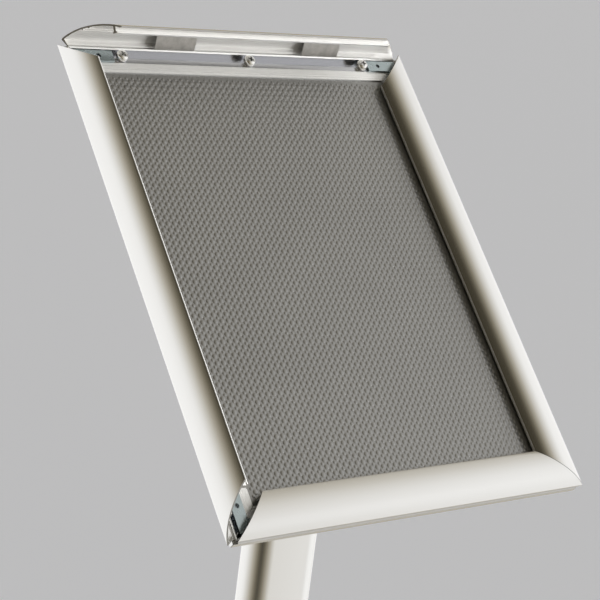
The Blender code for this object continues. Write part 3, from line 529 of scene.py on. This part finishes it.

# Finish 2, darker and bluish as painted shade, goes on the small step and the channel,
# finish 3, a little darker as painted shade, on the outer face and finish 1 on the rest
first_channel_side = rail_outline.index((GROOVE_INNER, STRIP_TOP + STRIP_RISE))
last_channel_side = rail_outline.index((channel_outer, RAIL_FLOOR))
rail_sides = [2 if first_channel_side <= i <= last_channel_side else 1 for i in range(len(rail_outline))]
rail_sides[-2:] = [3, 3]

rail_finish = drawn_finish("rail_as_drawn", (0.82, 0.82, 0.81), metallic=0.55, roughness=0.30,
                           spread=0.06, line_depth=0.000006)
# The rail's outer face: darker than the rest of the rail, as painted shade on the side under the covers.
outer_face_painted_shade = drawn_finish("rail_outer_face", (0.77, 0.77, 0.77), metallic=1.0, roughness=0.25,
                            spread=0.03, line_depth=0.000002)
# The channel and its step: a glossier finish, and a darker bluish colour that is painted shade in the
# recess.
channel_painted_shade = drawn_finish("channel_as_drawn", (0.60, 0.605, 0.63), metallic=0.95, roughness=0.17,
                              spread=0.03, line_depth=0.000003)
mitre_set_back = MITRE_GAP / math.sqrt(2)
frame_normal = tilt_place.to_3x3() @ Vector((0, 0, 1))
sides = ("bottom", "right", "top", "left")
for side in sides:
    length = side_lengths[side]
    rail = extrusion("rail_" + side, rail_outline, lambda s, z: s + mitre_set_back,
                     lambda s, z, length=length: length - s - mitre_set_back, side_places[side],
                     (sawn_end_painted_shade, rail_finish, channel_painted_shade, outer_face_painted_shade), rail_sides)
    names = [f"rail_screw_{side}_1", f"rail_screw_{side}_2"]
    if side in ("bottom", "top"):
        names.append("strap_screw_" + side)
    holes = []
    for name in names:
        start = middle_of(name) - frame_normal * RAIL_HOLE_REACH / 2
        holes.append((start, frame_normal, RAIL_HOLE_RADIUS, RAIL_HOLE_REACH))
    drill(rail, holes)
    hand_over(rail, "frame", ["base_rail_" + side])


# Corner plates: flat steel angles, punched, with a bluish zinc plate.
# They lie over the channels, on the edges of the strips, and stop short of the screws' heads.

corner_finish, tree, shader = paint("bluish_zinc_plate", (0.42, 0.485, 0.505), metallic=1.0, roughness=0.26)
cloud = pattern(tree, "ShaderNodeTexNoise", {"Scale": 160.0, "Detail": 4.0})
uneven_gloss(tree, shader, cloud.outputs["Fac"], low=0.20, high=0.34)
corners = ("bottom_left", "bottom_right", "top_left", "top_right")
finish_solids(corner_finish, ["corner_plate_" + corner for corner in corners])


# Screws: pan heads with a cross recess and a cut thread, bright zinc plated.
# Ten go through the rails' channels, two of these to the strap's nuts.
# Eight hold the tilt bracket and the plugs.

PAN_HEAD_PROFILE = [
    # share of the head's radius, share of its height
    (0.30, 0.99), (0.55, 0.955), (0.74, 0.88), (0.87, 0.76), (0.955, 0.60), (0.99, 0.44), (1.0, 0.28),
    (0.985, 0.08), (0.95, 0.0),
]
# The head's radius, the head's height and the shank's radius
RAIL_SCREW_SIZES = (0.0038, 0.0036, 0.00185)
PLATE_SCREW_SIZES = (0.0044, 0.0026, 0.0023)
THREAD_PITCH = 0.0007
THREAD_DEPTH = 0.0002
THREAD_STOPS_SHORT = 0.0006
THREAD_CREST = 0.2
THREAD_ROOT = 0.6
SCREW_TIP_CHAMFER = 0.0003
RECESS_HALF_LENGTH = 0.56
RECESS_HALF_WIDTH = 0.13
RECESS_TOP = 1.1
RECESS_BOTTOM = 0.30
RECESS_TIP = (0.45, 0.6)
SCREW_SHARP_ANGLE = 32.0
TURN_SEED = 7

screw_finish, tree, shader = paint("bright_zinc_screw", (0.88, 0.875, 0.86), metallic=1.0, roughness=0.15)
cloud = pattern(tree, "ShaderNodeTexNoise", {"Scale": 700.0, "Detail": 3.0})
uneven_gloss(tree, shader, cloud.outputs["Fac"], low=0.12, high=0.24)


def recess_wing(half_x, half_y, head_height):
    """A block that cuts one wing of the driver's recess, and narrows towards its tip."""
    quarters = ((-1, -1), (1, -1), (1, 1), (-1, 1))
    top = head_height * RECESS_TOP
    low = head_height * RECESS_BOTTOM
    wing = bmesh.new()
    upper = [wing.verts.new((x * half_x, y * half_y, top)) for x, y in quarters]
    lower = [wing.verts.new((x * half_x * RECESS_TIP[0], y * half_y * RECESS_TIP[1], low))
             for x, y in quarters]
    wing.faces.new(upper)
    wing.faces.new(list(reversed(lower)))
    for i in range(4):
        j = (i + 1) % 4
        wing.faces.new((lower[i], lower[j], upper[j], upper[i]))
    bmesh.ops.recalc_face_normals(wing, faces=wing.faces)
    mesh = bpy.data.meshes.new("wing")
    wing.to_mesh(mesh)
    wing.free()
    cutter = bpy.data.objects.new("wing", mesh)
    scene.collection.objects.link(cutter)
    return cutter


def pan_head_screw(name, head_radius, head_height, shank_radius, length):
    """One screw, its head up and the head's underside at z = 0, turned from a profile and then punched."""
    profile = [(0.0, head_height)]
    profile += [(head_radius * across, head_height * up) for across, up in PAN_HEAD_PROFILE]
    profile += [(shank_radius, 0.0)]
    for turn in range(int((length - THREAD_STOPS_SHORT) / THREAD_PITCH)):
        top = -THREAD_PITCH * turn
        profile += [(shank_radius, top - THREAD_CREST * THREAD_PITCH)]
        profile += [(shank_radius - THREAD_DEPTH, top - THREAD_ROOT * THREAD_PITCH)]
    profile += [(shank_radius - SCREW_TIP_CHAMFER, -length), (0.0, -length)]
    shape = bmesh.new()
    points = [shape.verts.new((r, 0.0, z)) for r, z in profile]
    for a, b in zip(points, points[1:]):
        shape.edges.new((a, b))
    bmesh.ops.spin(shape, geom=list(shape.verts) + list(shape.edges), cent=(0, 0, 0), axis=(0, 0, 1),
                   angle=math.tau, steps=40, use_merge=True)
    bmesh.ops.remove_doubles(shape, verts=shape.verts, dist=1e-6)
    bmesh.ops.recalc_face_normals(shape, faces=shape.faces)
    mesh = bpy.data.meshes.new(name)
    shape.to_mesh(mesh)
    shape.free()
    screw = bpy.data.objects.new(name, mesh)
    scene.collection.objects.link(screw)
    half_long = RECESS_HALF_LENGTH * head_radius
    half_thin = RECESS_HALF_WIDTH * head_radius
    wings = [recess_wing(half_long, half_thin, head_height), recess_wing(half_thin, half_long, head_height)]
    for cutter in wings:
        cut = screw.modifiers.new("recess", "BOOLEAN")
        cut.operation = "DIFFERENCE"
        cut.solver = "EXACT"
        cut.object = cutter
    bpy.context.view_layer.update()
    punched = bpy.data.meshes.new_from_object(screw.evaluated_get(bpy.context.evaluated_depsgraph_get()))
    screw.modifiers.clear()
    screw.data = punched
    punched.shade_smooth()
    punched.set_sharp_from_angle(angle=math.radians(SCREW_SHARP_ANGLE))
    for cutter in wings:
        bpy.data.objects.remove(cutter)
    return screw


def input_sockets(group, kind, names_and_values):
    """Named inputs of one kind, each with its value to start from."""
    for name, value in names_and_values:
        group.interface.new_socket(name, in_out="INPUT", socket_type=kind).default_value = value


def instanced(group, points, source_object, rotation, finish):
    """One copy of an object on every point, made real and given its finish."""
    source = add_node(group, "GeometryNodeObjectInfo", transform_space="ORIGINAL")
    group.links.new(source_object, source.inputs["Object"])
    put = add_node(group, "GeometryNodeInstanceOnPoints")
    group.links.new(points, put.inputs["Points"])
    group.links.new(source.outputs["Geometry"], put.inputs["Instance"])
    if rotation:
        group.links.new(rotation, put.inputs["Rotation"])
    real = add_node(group, "GeometryNodeRealizeInstances")
    group.links.new(put.outputs[0], real.inputs[0])
    coated = add_node(group, "GeometryNodeSetMaterial")
    group.links.new(real.outputs[0], coated.inputs["Geometry"])
    group.links.new(finish, coated.inputs["Material"])
    return coated.outputs[0]


def screw_tree():
    """Puts one screw on every point, its head along the point's heading and its recess at any turn."""
    group = bpy.data.node_groups.new("screws_in_place", "GeometryNodeTree")
    group.interface.new_socket("Places", in_out="INPUT", socket_type="NodeSocketGeometry")
    group.interface.new_socket("Screw", in_out="INPUT", socket_type="NodeSocketObject")
    input_sockets(group, "NodeSocketInt", [("Turn Seed", TURN_SEED)])
    group.interface.new_socket("Finish", in_out="INPUT", socket_type="NodeSocketMaterial")
    group.interface.new_socket("Screws", in_out="OUTPUT", socket_type="NodeSocketGeometry")
    into = add_node(group, "NodeGroupInput")
    outof = add_node(group, "NodeGroupOutput")
    heading = add_node(group, "GeometryNodeInputNamedAttribute", {"Name": "heading"},
                       data_type="FLOAT_VECTOR")
    face = add_node(group, "FunctionNodeAlignRotationToVector", axis="Z")
    group.links.new(heading.outputs["Attribute"], face.inputs["Vector"])
    turn = add_node(group, "FunctionNodeRandomValue", data_type="FLOAT")
    largest = next(s for s in turn.inputs if s.type == "VALUE" and s.name == "Max")
    largest.default_value = math.tau
    group.links.new(into.outputs["Turn Seed"], turn.inputs["Seed"])
    spin = add_node(group, "FunctionNodeAxisAngleToRotation")
    drawn = next(s for s in turn.outputs if s.type == "VALUE")
    group.links.new(drawn, spin.inputs["Angle"])
    both = add_node(group, "FunctionNodeRotateRotation", rotation_space="LOCAL")
    group.links.new(face.outputs[0], both.inputs["Rotation"])
    group.links.new(spin.outputs[0], both.inputs["Rotate By"])
    screws = instanced(group, into.outputs["Places"], into.outputs["Screw"], both.outputs[0],
                       into.outputs["Finish"])
    group.links.new(screws, outof.inputs["Screws"])
    return group


def made_by_nodes(name, points, attributes, group, inputs):
    """A plain mesh from a node tree that starts on the given points."""
    mesh = bpy.data.meshes.new(name)
    mesh.from_pydata(points, [], [])
    for key, values in attributes.items():
        layer = mesh.attributes.new(key, "FLOAT_VECTOR", "POINT")
        for item, value in zip(layer.data, values):
            item.vector = value
    piece = bpy.data.objects.new(name, mesh)
    scene.collection.objects.link(piece)
    maker = piece.modifiers.new(group.name, "NODES")
    maker.node_group = group
    for item in group.interface.items_tree:
        if item.item_type == "SOCKET" and item.in_out == "INPUT" and item.name in inputs:
            maker[item.identifier] = inputs[item.name]
    bpy.context.view_layer.update()
    done = bpy.data.meshes.new_from_object(piece.evaluated_get(bpy.context.evaluated_depsgraph_get()))
    piece.modifiers.clear()
    piece.data = done
    done.materials.pop(index=0)
    done.name = name
    bpy.data.meshes.remove(mesh)
    return piece


screws_in_place = screw_tree()
rail_screws = [f"rail_screw_{side}_{number}" for side in sides for number in (1, 2)]
strap_screws = ["strap_screw_bottom", "strap_screw_top"]
bracket_screws = [f"bracket_screw_{number}" for number in (1, 2, 3, 4)]
screw_groups = [
    ("rail_screws", rail_screws, frame_normal, "frame", RAIL_SCREW_SIZES),
    ("strap_screws", strap_screws, frame_normal, "frame", RAIL_SCREW_SIZES),
    ("bracket_screws", bracket_screws, -frame_normal, "frame", PLATE_SCREW_SIZES),
    ("plug_screws", PLUG_SCREWS, Vector((0, 1, 0)), "stand", PLATE_SCREW_SIZES),
]
for name, replaced, heading, body, (head_radius, head_height, shank_radius) in screw_groups:
    heads = []
    for node in replaced:
        heights = [heading.dot(solids[node].matrix_world @ v.co) for v in solids[node].data.vertices]
        middle = middle_of(node)
        heads.append(middle + heading * (max(heights) - head_height - heading.dot(middle)))
    shank_length = max(heights) - min(heights) - head_height
    screw = pan_head_screw(name + "_pattern", head_radius, head_height, shank_radius, shank_length)
    screws = made_by_nodes(name, heads, {"heading": [heading] * len(heads)}, screws_in_place,
                           {"Screw": screw, "Turn Seed": TURN_SEED, "Finish": screw_finish})
    bpy.data.objects.remove(screw)
    hand_over(screws, body, replaced)


# Backing sheet: thin grey sheet with a satin face, cut to lie on the rails' ledges.
# It is rolled all over with round flat-topped pips, a small one in the middle of every four large ones.

SHEET_THICKNESS = 0.0015
SEAT_GAP = 0.0003
PIP_PITCH = 0.00417
PIP_PAIR = [
    # across, along, radius, height
    (0.00104, -0.00104, 0.00160, 0.00022),
    (-0.00104, 0.00104, 0.00105, 0.00017),
]
PIP_SEGMENTS = 10
PIP_RINGS = (0.75, 1.0)
PIP_FLATNESS = 6
PIP_SHARP_ANGLE = 50.0
SHEET_TINTS = ((0.275, 0.272, 0.266), (0.315, 0.312, 0.304))


def uneven_tint(tree, shader, source, tints):
    """A colour that runs from one tint to another with a pattern."""
    tint = add_node(tree, "ShaderNodeMix", data_type="RGBA")
    tint.inputs["A"].default_value = (*tints[0], 1.0)
    tint.inputs["B"].default_value = (*tints[1], 1.0)
    tree.links.new(source, tint.inputs["Factor"])
    tree.links.new(tint.outputs["Result"], shader.inputs["Base Color"])


sheet_finish, tree, shader = paint("embossed_grey_sheet", (0.31, 0.307, 0.30), metallic=0.95, roughness=0.32)
grain = pattern(tree, "ShaderNodeTexNoise", {"Scale": 2400.0, "Detail": 3.0})
relief(tree, shader, grain.outputs["Fac"], strength=0.4, depth=0.00003)
cloud = pattern(tree, "ShaderNodeTexNoise", {"Scale": 22.0, "Detail": 3.0})
uneven_tint(tree, shader, cloud.outputs["Fac"], SHEET_TINTS)


def pip_pair(name):
    """The two low domes of one square of the pattern: each a crown and a ring of points at each share."""
    shape = bmesh.new()
    for x, y, radius, height in PIP_PAIR:
        crown = shape.verts.new((x, y, height))
        rings = []
        for share in PIP_RINGS:
            level = height * (1.0 - share ** PIP_FLATNESS)
            ring = []
            for i in range(PIP_SEGMENTS):
                angle = math.tau * i / PIP_SEGMENTS
                across = x + radius * share * math.cos(angle)
                ring.append(shape.verts.new((across, y + radius * share * math.sin(angle), level)))
            rings.append(ring)
        for i in range(PIP_SEGMENTS):
            j = (i + 1) % PIP_SEGMENTS
            shape.faces.new((crown, rings[0][i], rings[0][j]))
            for inner, outer in zip(rings, rings[1:]):
                shape.faces.new((inner[i], outer[i], outer[j], inner[j]))
    mesh = bpy.data.meshes.new(name)
    shape.to_mesh(mesh)
    shape.free()
    mesh.shade_smooth()
    pips = bpy.data.objects.new(name, mesh)
    scene.collection.objects.link(pips)
    return pips


def pip_tree():
    """One pair of pips on every point of a square grid that fills the given width and height."""
    group = bpy.data.node_groups.new("embossed_pips", "GeometryNodeTree")
    group.interface.new_socket("Start", in_out="INPUT", socket_type="NodeSocketGeometry")
    input_sockets(group, "NodeSocketFloat",
                  [("Width", sheet_width), ("Height", sheet_height), ("Pitch", PIP_PITCH)])
    group.interface.new_socket("Pip", in_out="INPUT", socket_type="NodeSocketObject")
    group.interface.new_socket("Finish", in_out="INPUT", socket_type="NodeSocketMaterial")
    group.interface.new_socket("Pips", in_out="OUTPUT", socket_type="NodeSocketGeometry")
    into = add_node(group, "NodeGroupInput")
    outof = add_node(group, "NodeGroupOutput")
    grid = add_node(group, "GeometryNodeMeshGrid")
    for length, axis in (("Width", "X"), ("Height", "Y")):
        ratio = add_node(group, "ShaderNodeMath", operation="DIVIDE")
        group.links.new(into.outputs[length], ratio.inputs[0])
        group.links.new(into.outputs["Pitch"], ratio.inputs[1])
        number = add_node(group, "ShaderNodeMath", operation="FLOOR")
        group.links.new(ratio.outputs[0], number.inputs[0])
        spans = add_node(group, "ShaderNodeMath", {1: 1.0}, operation="SUBTRACT")
        group.links.new(number.outputs[0], spans.inputs[0])
        size = add_node(group, "ShaderNodeMath", operation="MULTIPLY")
        group.links.new(spans.outputs[0], size.inputs[0])
        group.links.new(into.outputs["Pitch"], size.inputs[1])
        group.links.new(size.outputs[0], grid.inputs["Size " + axis])
        group.links.new(number.outputs[0], grid.inputs["Vertices " + axis])
    pips = instanced(group, grid.outputs["Mesh"], into.outputs["Pip"], None, into.outputs["Finish"])
    group.links.new(pips, outof.inputs["Pips"])
    return group


sheet_inset = STRIP_INNER + SEAT_GAP
sheet_width = FRAME_WIDTH - 2 * sheet_inset
sheet_height = FRAME_HEIGHT - 2 * sheet_inset
pip = pip_pair("pip_pair")
sheet = made_by_nodes("embossed_sheet", [(0, 0, 0)], {}, pip_tree(),
                      {"Width": sheet_width - PIP_PITCH / 2, "Height": sheet_height - PIP_PITCH / 2,
                       "Pitch": PIP_PITCH, "Pip": pip, "Finish": sheet_finish})
bpy.data.objects.remove(pip)
shape = bmesh.new()
shape.from_mesh(sheet.data)
bmesh.ops.create_cube(shape, size=1.0, matrix=Matrix.Translation((0, 0, -SHEET_THICKNESS / 2))
                      @ Matrix.Diagonal((sheet_width, sheet_height, SHEET_THICKNESS, 1.0)))
front = PIVOT_BEHIND_FRAME + LEDGE_TOP + SEAT_GAP + SHEET_THICKNESS
shape.transform(tilt_place @ Matrix.Translation((0, PIVOT_BELOW_CENTRE, front)))
shape.to_mesh(sheet.data)
shape.free()
sheet.data.set_sharp_from_angle(angle=math.radians(PIP_SHARP_ANGLE))
hand_over(sheet, "frame", ["backing_sheet"])


# Leaf springs: dull rolled spring steel strips, bowed, two to a rail.
# Each stands with its heel on the rail's shelf and its free edge between two ribs under the cover.

LEAF_WIDTH = 0.028
LEAF_LENGTH = 0.0096
LEAF_THICKNESS = 0.0004
LEAF_BOW = 0.0004
LEAF_HEEL_ANGLE = 60.0
LEAF_CLOSED_ANGLE = 32.5
LEAF_RATIO = 1.22
LEAF_FROM_START = 0.065
LEAF_FROM_END = 0.073
LEAF_TINTS = ((0.18, 0.170, 0.16), (0.71, 0.693, 0.672))
OPEN_ANGLE = {"bottom": 0.0, "right": 0.0, "top": 74.4, "left": 76.4}

leaf_finish, tree, shader = paint("dull_spring_steel", (0.40, 0.375, 0.35), metallic=1.0, roughness=0.40)
smear = pattern(tree, "ShaderNodeTexNoise", {"Scale": 170.0, "Detail": 5.0, "Roughness": 0.6})
uneven_gloss(tree, shader, smear.outputs["Fac"], low=0.32, high=0.50)
uneven_tint(tree, shader, smear.outputs["Fac"], LEAF_TINTS)

heel_radius = HOOK_RADIUS + LEAF_THICKNESS / 2 + SEAT_GAP
heel_s = HINGE[0] + heel_radius * math.cos(math.radians(LEAF_HEEL_ANGLE))
heel_z = HINGE[1] + heel_radius * math.sin(math.radians(LEAF_HEEL_ANGLE))
bow_radius = (LEAF_LENGTH ** 2 / 4 + LEAF_BOW ** 2) / (2 * LEAF_BOW)
half_angle = math.degrees(math.asin(LEAF_LENGTH / 2 / bow_radius))
bow_centre = (LEAF_LENGTH / 2, bow_radius - LEAF_BOW)
bow_start = 270.0 - half_angle
bow_end = 270.0 + half_angle
leaf_outline = arc(bow_centre, bow_radius + LEAF_THICKNESS / 2, bow_start, bow_end, steps=20)
leaf_outline += arc(bow_centre, bow_radius - LEAF_THICKNESS / 2, bow_end, bow_start, steps=20)
for side in sides:
    turn = Matrix.Rotation(math.radians(LEAF_CLOSED_ANGLE + LEAF_RATIO * OPEN_ANGLE[side]), 4, "X")
    for number, start in enumerate((LEAF_FROM_START, side_lengths[side] - LEAF_FROM_END), 1):
        node = f"leaf_spring_{side}_{number}"
        leaf_place = side_places[side] @ Matrix.Translation((start, heel_s, heel_z)) @ turn
        leaf = extrusion(f"leaf_{side}_{number}", leaf_outline, lambda s, z: -LEAF_WIDTH / 2,
                         lambda s, z: LEAF_WIDTH / 2, leaf_place, (leaf_finish, leaf_finish))
        hand_over(leaf, node, [node])


# Cover rails: four lengths of a crowned aluminium extrusion, satin anodised and mitred.
# A bead along the outer edge turns in the base rail's socket, a lip near the free edge holds the poster,
# and two small ribs under the crown guide the leaf springs.

BEAD_RADIUS = 0.00095
BEAD_END_MARGIN = 0.00005
COVER_WALL = 0.001
CREST = (0.011, 0.013)
INNER_ARC_RADIUS = 0.024
OUTER_ARC_RADIUS = 0.0173
SHOULDER_RADIUS = 0.0012
LIP_S = 0.0222
LIP_WALL = 0.0009
LIP_TIP_Z = 0.005
LIP_FOOT = 0.00045
LIP_FOOT_HEIGHT = 0.0007
LEAF_RIB_S = 0.0105
RIB_SPREAD = 0.0014
RIB_WIDTH = 0.0006
RIB_HEIGHT = 0.0006
UNDER_START = 0.25
NOSE_SET_BACK = 0.0004
NOSE_TURN = 150.0


def under_crown(s):
    """A point on the cover's inner surface at a distance from the outer edge."""
    arc_radius = INNER_ARC_RADIUS if s > CREST[0] else OUTER_ARC_RADIUS
    radius = arc_radius - COVER_WALL
    return s, CREST[1] - arc_radius + math.sqrt(radius ** 2 - (s - CREST[0]) ** 2)


def under_run(start, end, steps):
    """Points along the inner surface between two distances."""
    return [under_crown(start + (end - start) * i / steps) for i in range(steps + 1)]


def spring_rib(s):
    """A small square rib beside the leaf springs' groove."""
    left, right = under_crown(s - RIB_WIDTH / 2), under_crown(s + RIB_WIDTH / 2)
    low = min(left[1], right[1]) - RIB_HEIGHT
    return [left, (left[0], low), (right[0], low), right]


def cover_start(s, z):
    """Where the cover starts at a point of its section: on the mitre, but square over the bead."""
    if math.hypot(s - HINGE[0], z - HINGE[1]) < BEAD_RADIUS + BEAD_END_MARGIN:
        s = HINGE[0] + BEAD_RADIUS + SEAT_GAP
    return s + mitre_set_back


roll_reach = OUTER_ARC_RADIUS - SHOULDER_RADIUS
roll_across = CREST[0] - SHOULDER_RADIUS
roll = (SHOULDER_RADIUS, CREST[1] - OUTER_ARC_RADIUS + math.sqrt(roll_reach ** 2 - roll_across ** 2))
inner_centre = (CREST[0], CREST[1] - INNER_ARC_RADIUS)
outer_centre = (CREST[0], CREST[1] - OUTER_ARC_RADIUS)
edge_angle = math.degrees(math.acos((RAIL_WIDTH - CREST[0]) / INNER_ARC_RADIUS))
roll_angle = 90.0 + math.degrees(math.asin(roll_across / roll_reach))
half_wall = COVER_WALL / 2
to_roll = (roll[0] - HINGE[0], roll[1] - HINGE[1])
leg_angle = math.degrees(math.atan2(to_roll[1], to_roll[0])
                         + math.acos((half_wall - SHOULDER_RADIUS) / math.hypot(*to_roll)))
neck = math.degrees(math.asin(half_wall / BEAD_RADIUS))
first_rib = LEAF_RIB_S - RIB_SPREAD
second_rib = LEAF_RIB_S + RIB_SPREAD
lip_out = LIP_S - LIP_WALL / 2
lip_in = LIP_S + LIP_WALL / 2
foot_z = LIP_TIP_Z + LIP_FOOT_HEIGHT
nose_centre = arc(inner_centre, INNER_ARC_RADIUS - half_wall, edge_angle, edge_angle, steps=1)[0]

cover_outline = arc(inner_centre, INNER_ARC_RADIUS, edge_angle, 90.0, steps=30)
cover_outline += arc(outer_centre, OUTER_ARC_RADIUS, 90.0, roll_angle, steps=30)[1:]
cover_outline += arc(roll, SHOULDER_RADIUS, roll_angle, leg_angle, steps=12)[1:]
leg_start = len(cover_outline) - 1
cover_outline += arc(HINGE, BEAD_RADIUS, leg_angle - 90.0 + neck, leg_angle + 270.0 - neck, steps=30)
inside_start = len(cover_outline) - 1
cover_outline += arc(roll, SHOULDER_RADIUS - COVER_WALL, leg_angle, roll_angle, steps=4)
cover_outline += under_run(UNDER_START * first_rib, first_rib - RIB_WIDTH / 2, steps=14)[:-1]
cover_outline += spring_rib(first_rib)
cover_outline += under_run(first_rib + RIB_WIDTH / 2, second_rib - RIB_WIDTH / 2, steps=4)[1:-1]
cover_outline += spring_rib(second_rib)
cover_outline += under_run(second_rib + RIB_WIDTH / 2, lip_out, steps=20)[1:]
cover_outline += [(lip_out, foot_z + LIP_FOOT), (lip_out - LIP_FOOT, foot_z)]
cover_outline += [(lip_out - LIP_FOOT, LIP_TIP_Z), (lip_in + LIP_FOOT, LIP_TIP_Z)]
cover_outline += [(lip_in + LIP_FOOT, foot_z), (lip_in, foot_z + LIP_FOOT)]
cover_outline += under_run(lip_in, nose_centre[0] - NOSE_SET_BACK, steps=6)
nose_start = len(cover_outline)
cover_outline += arc(nose_centre, half_wall, edge_angle - NOSE_TURN, edge_angle, steps=10)[:-1]

# Finish 1 goes on the crown, finish 2, lightened as painted light, on the inside,
# and finish 3, darkened as painted shade, on the hinge leg and the nose
cover_sides = [1] * leg_start + [3] * (inside_start - leg_start) + [2] * (nose_start - inside_start)
cover_sides += [3] * (len(cover_outline) - nose_start)

cover_finish = drawn_finish("cover_satin_anodised", (0.80, 0.795, 0.785), metallic=1.0, roughness=0.21,
                            spread=0.02, line_depth=0.0000012)
# The cover's inside: a duller finish, and a lighter colour than the crown that is painted light.
inside_painted_light = drawn_finish("cover_inside_as_drawn", (0.95, 0.945, 0.935), metallic=0.55, roughness=0.14,
                             spread=0.03, line_depth=0.000002)
# Hinge leg and nose: a darker colour that is painted shade along the cover's edges.
edge_painted_shade = drawn_finish("cover_edge_anodised", (0.56, 0.555, 0.545), metallic=1.0, roughness=0.30,
                           spread=0.03, line_depth=0.000002)
hinge_shift = Matrix.Translation((0, HINGE[0], HINGE[1]))
for side in sides:
    length = side_lengths[side]
    swing = hinge_shift @ Matrix.Rotation(math.radians(OPEN_ANGLE[side]), 4, "X") @ hinge_shift.inverted()
    cover = extrusion(side + "_cover_rail", cover_outline, cover_start,
                      lambda s, z, length=length: length - cover_start(s, z), side_places[side] @ swing,
                      (sawn_end_painted_shade, cover_finish, inside_painted_light, edge_painted_shade), cover_sides)
    hand_over(cover, "cover_" + side, ["cover_" + side])
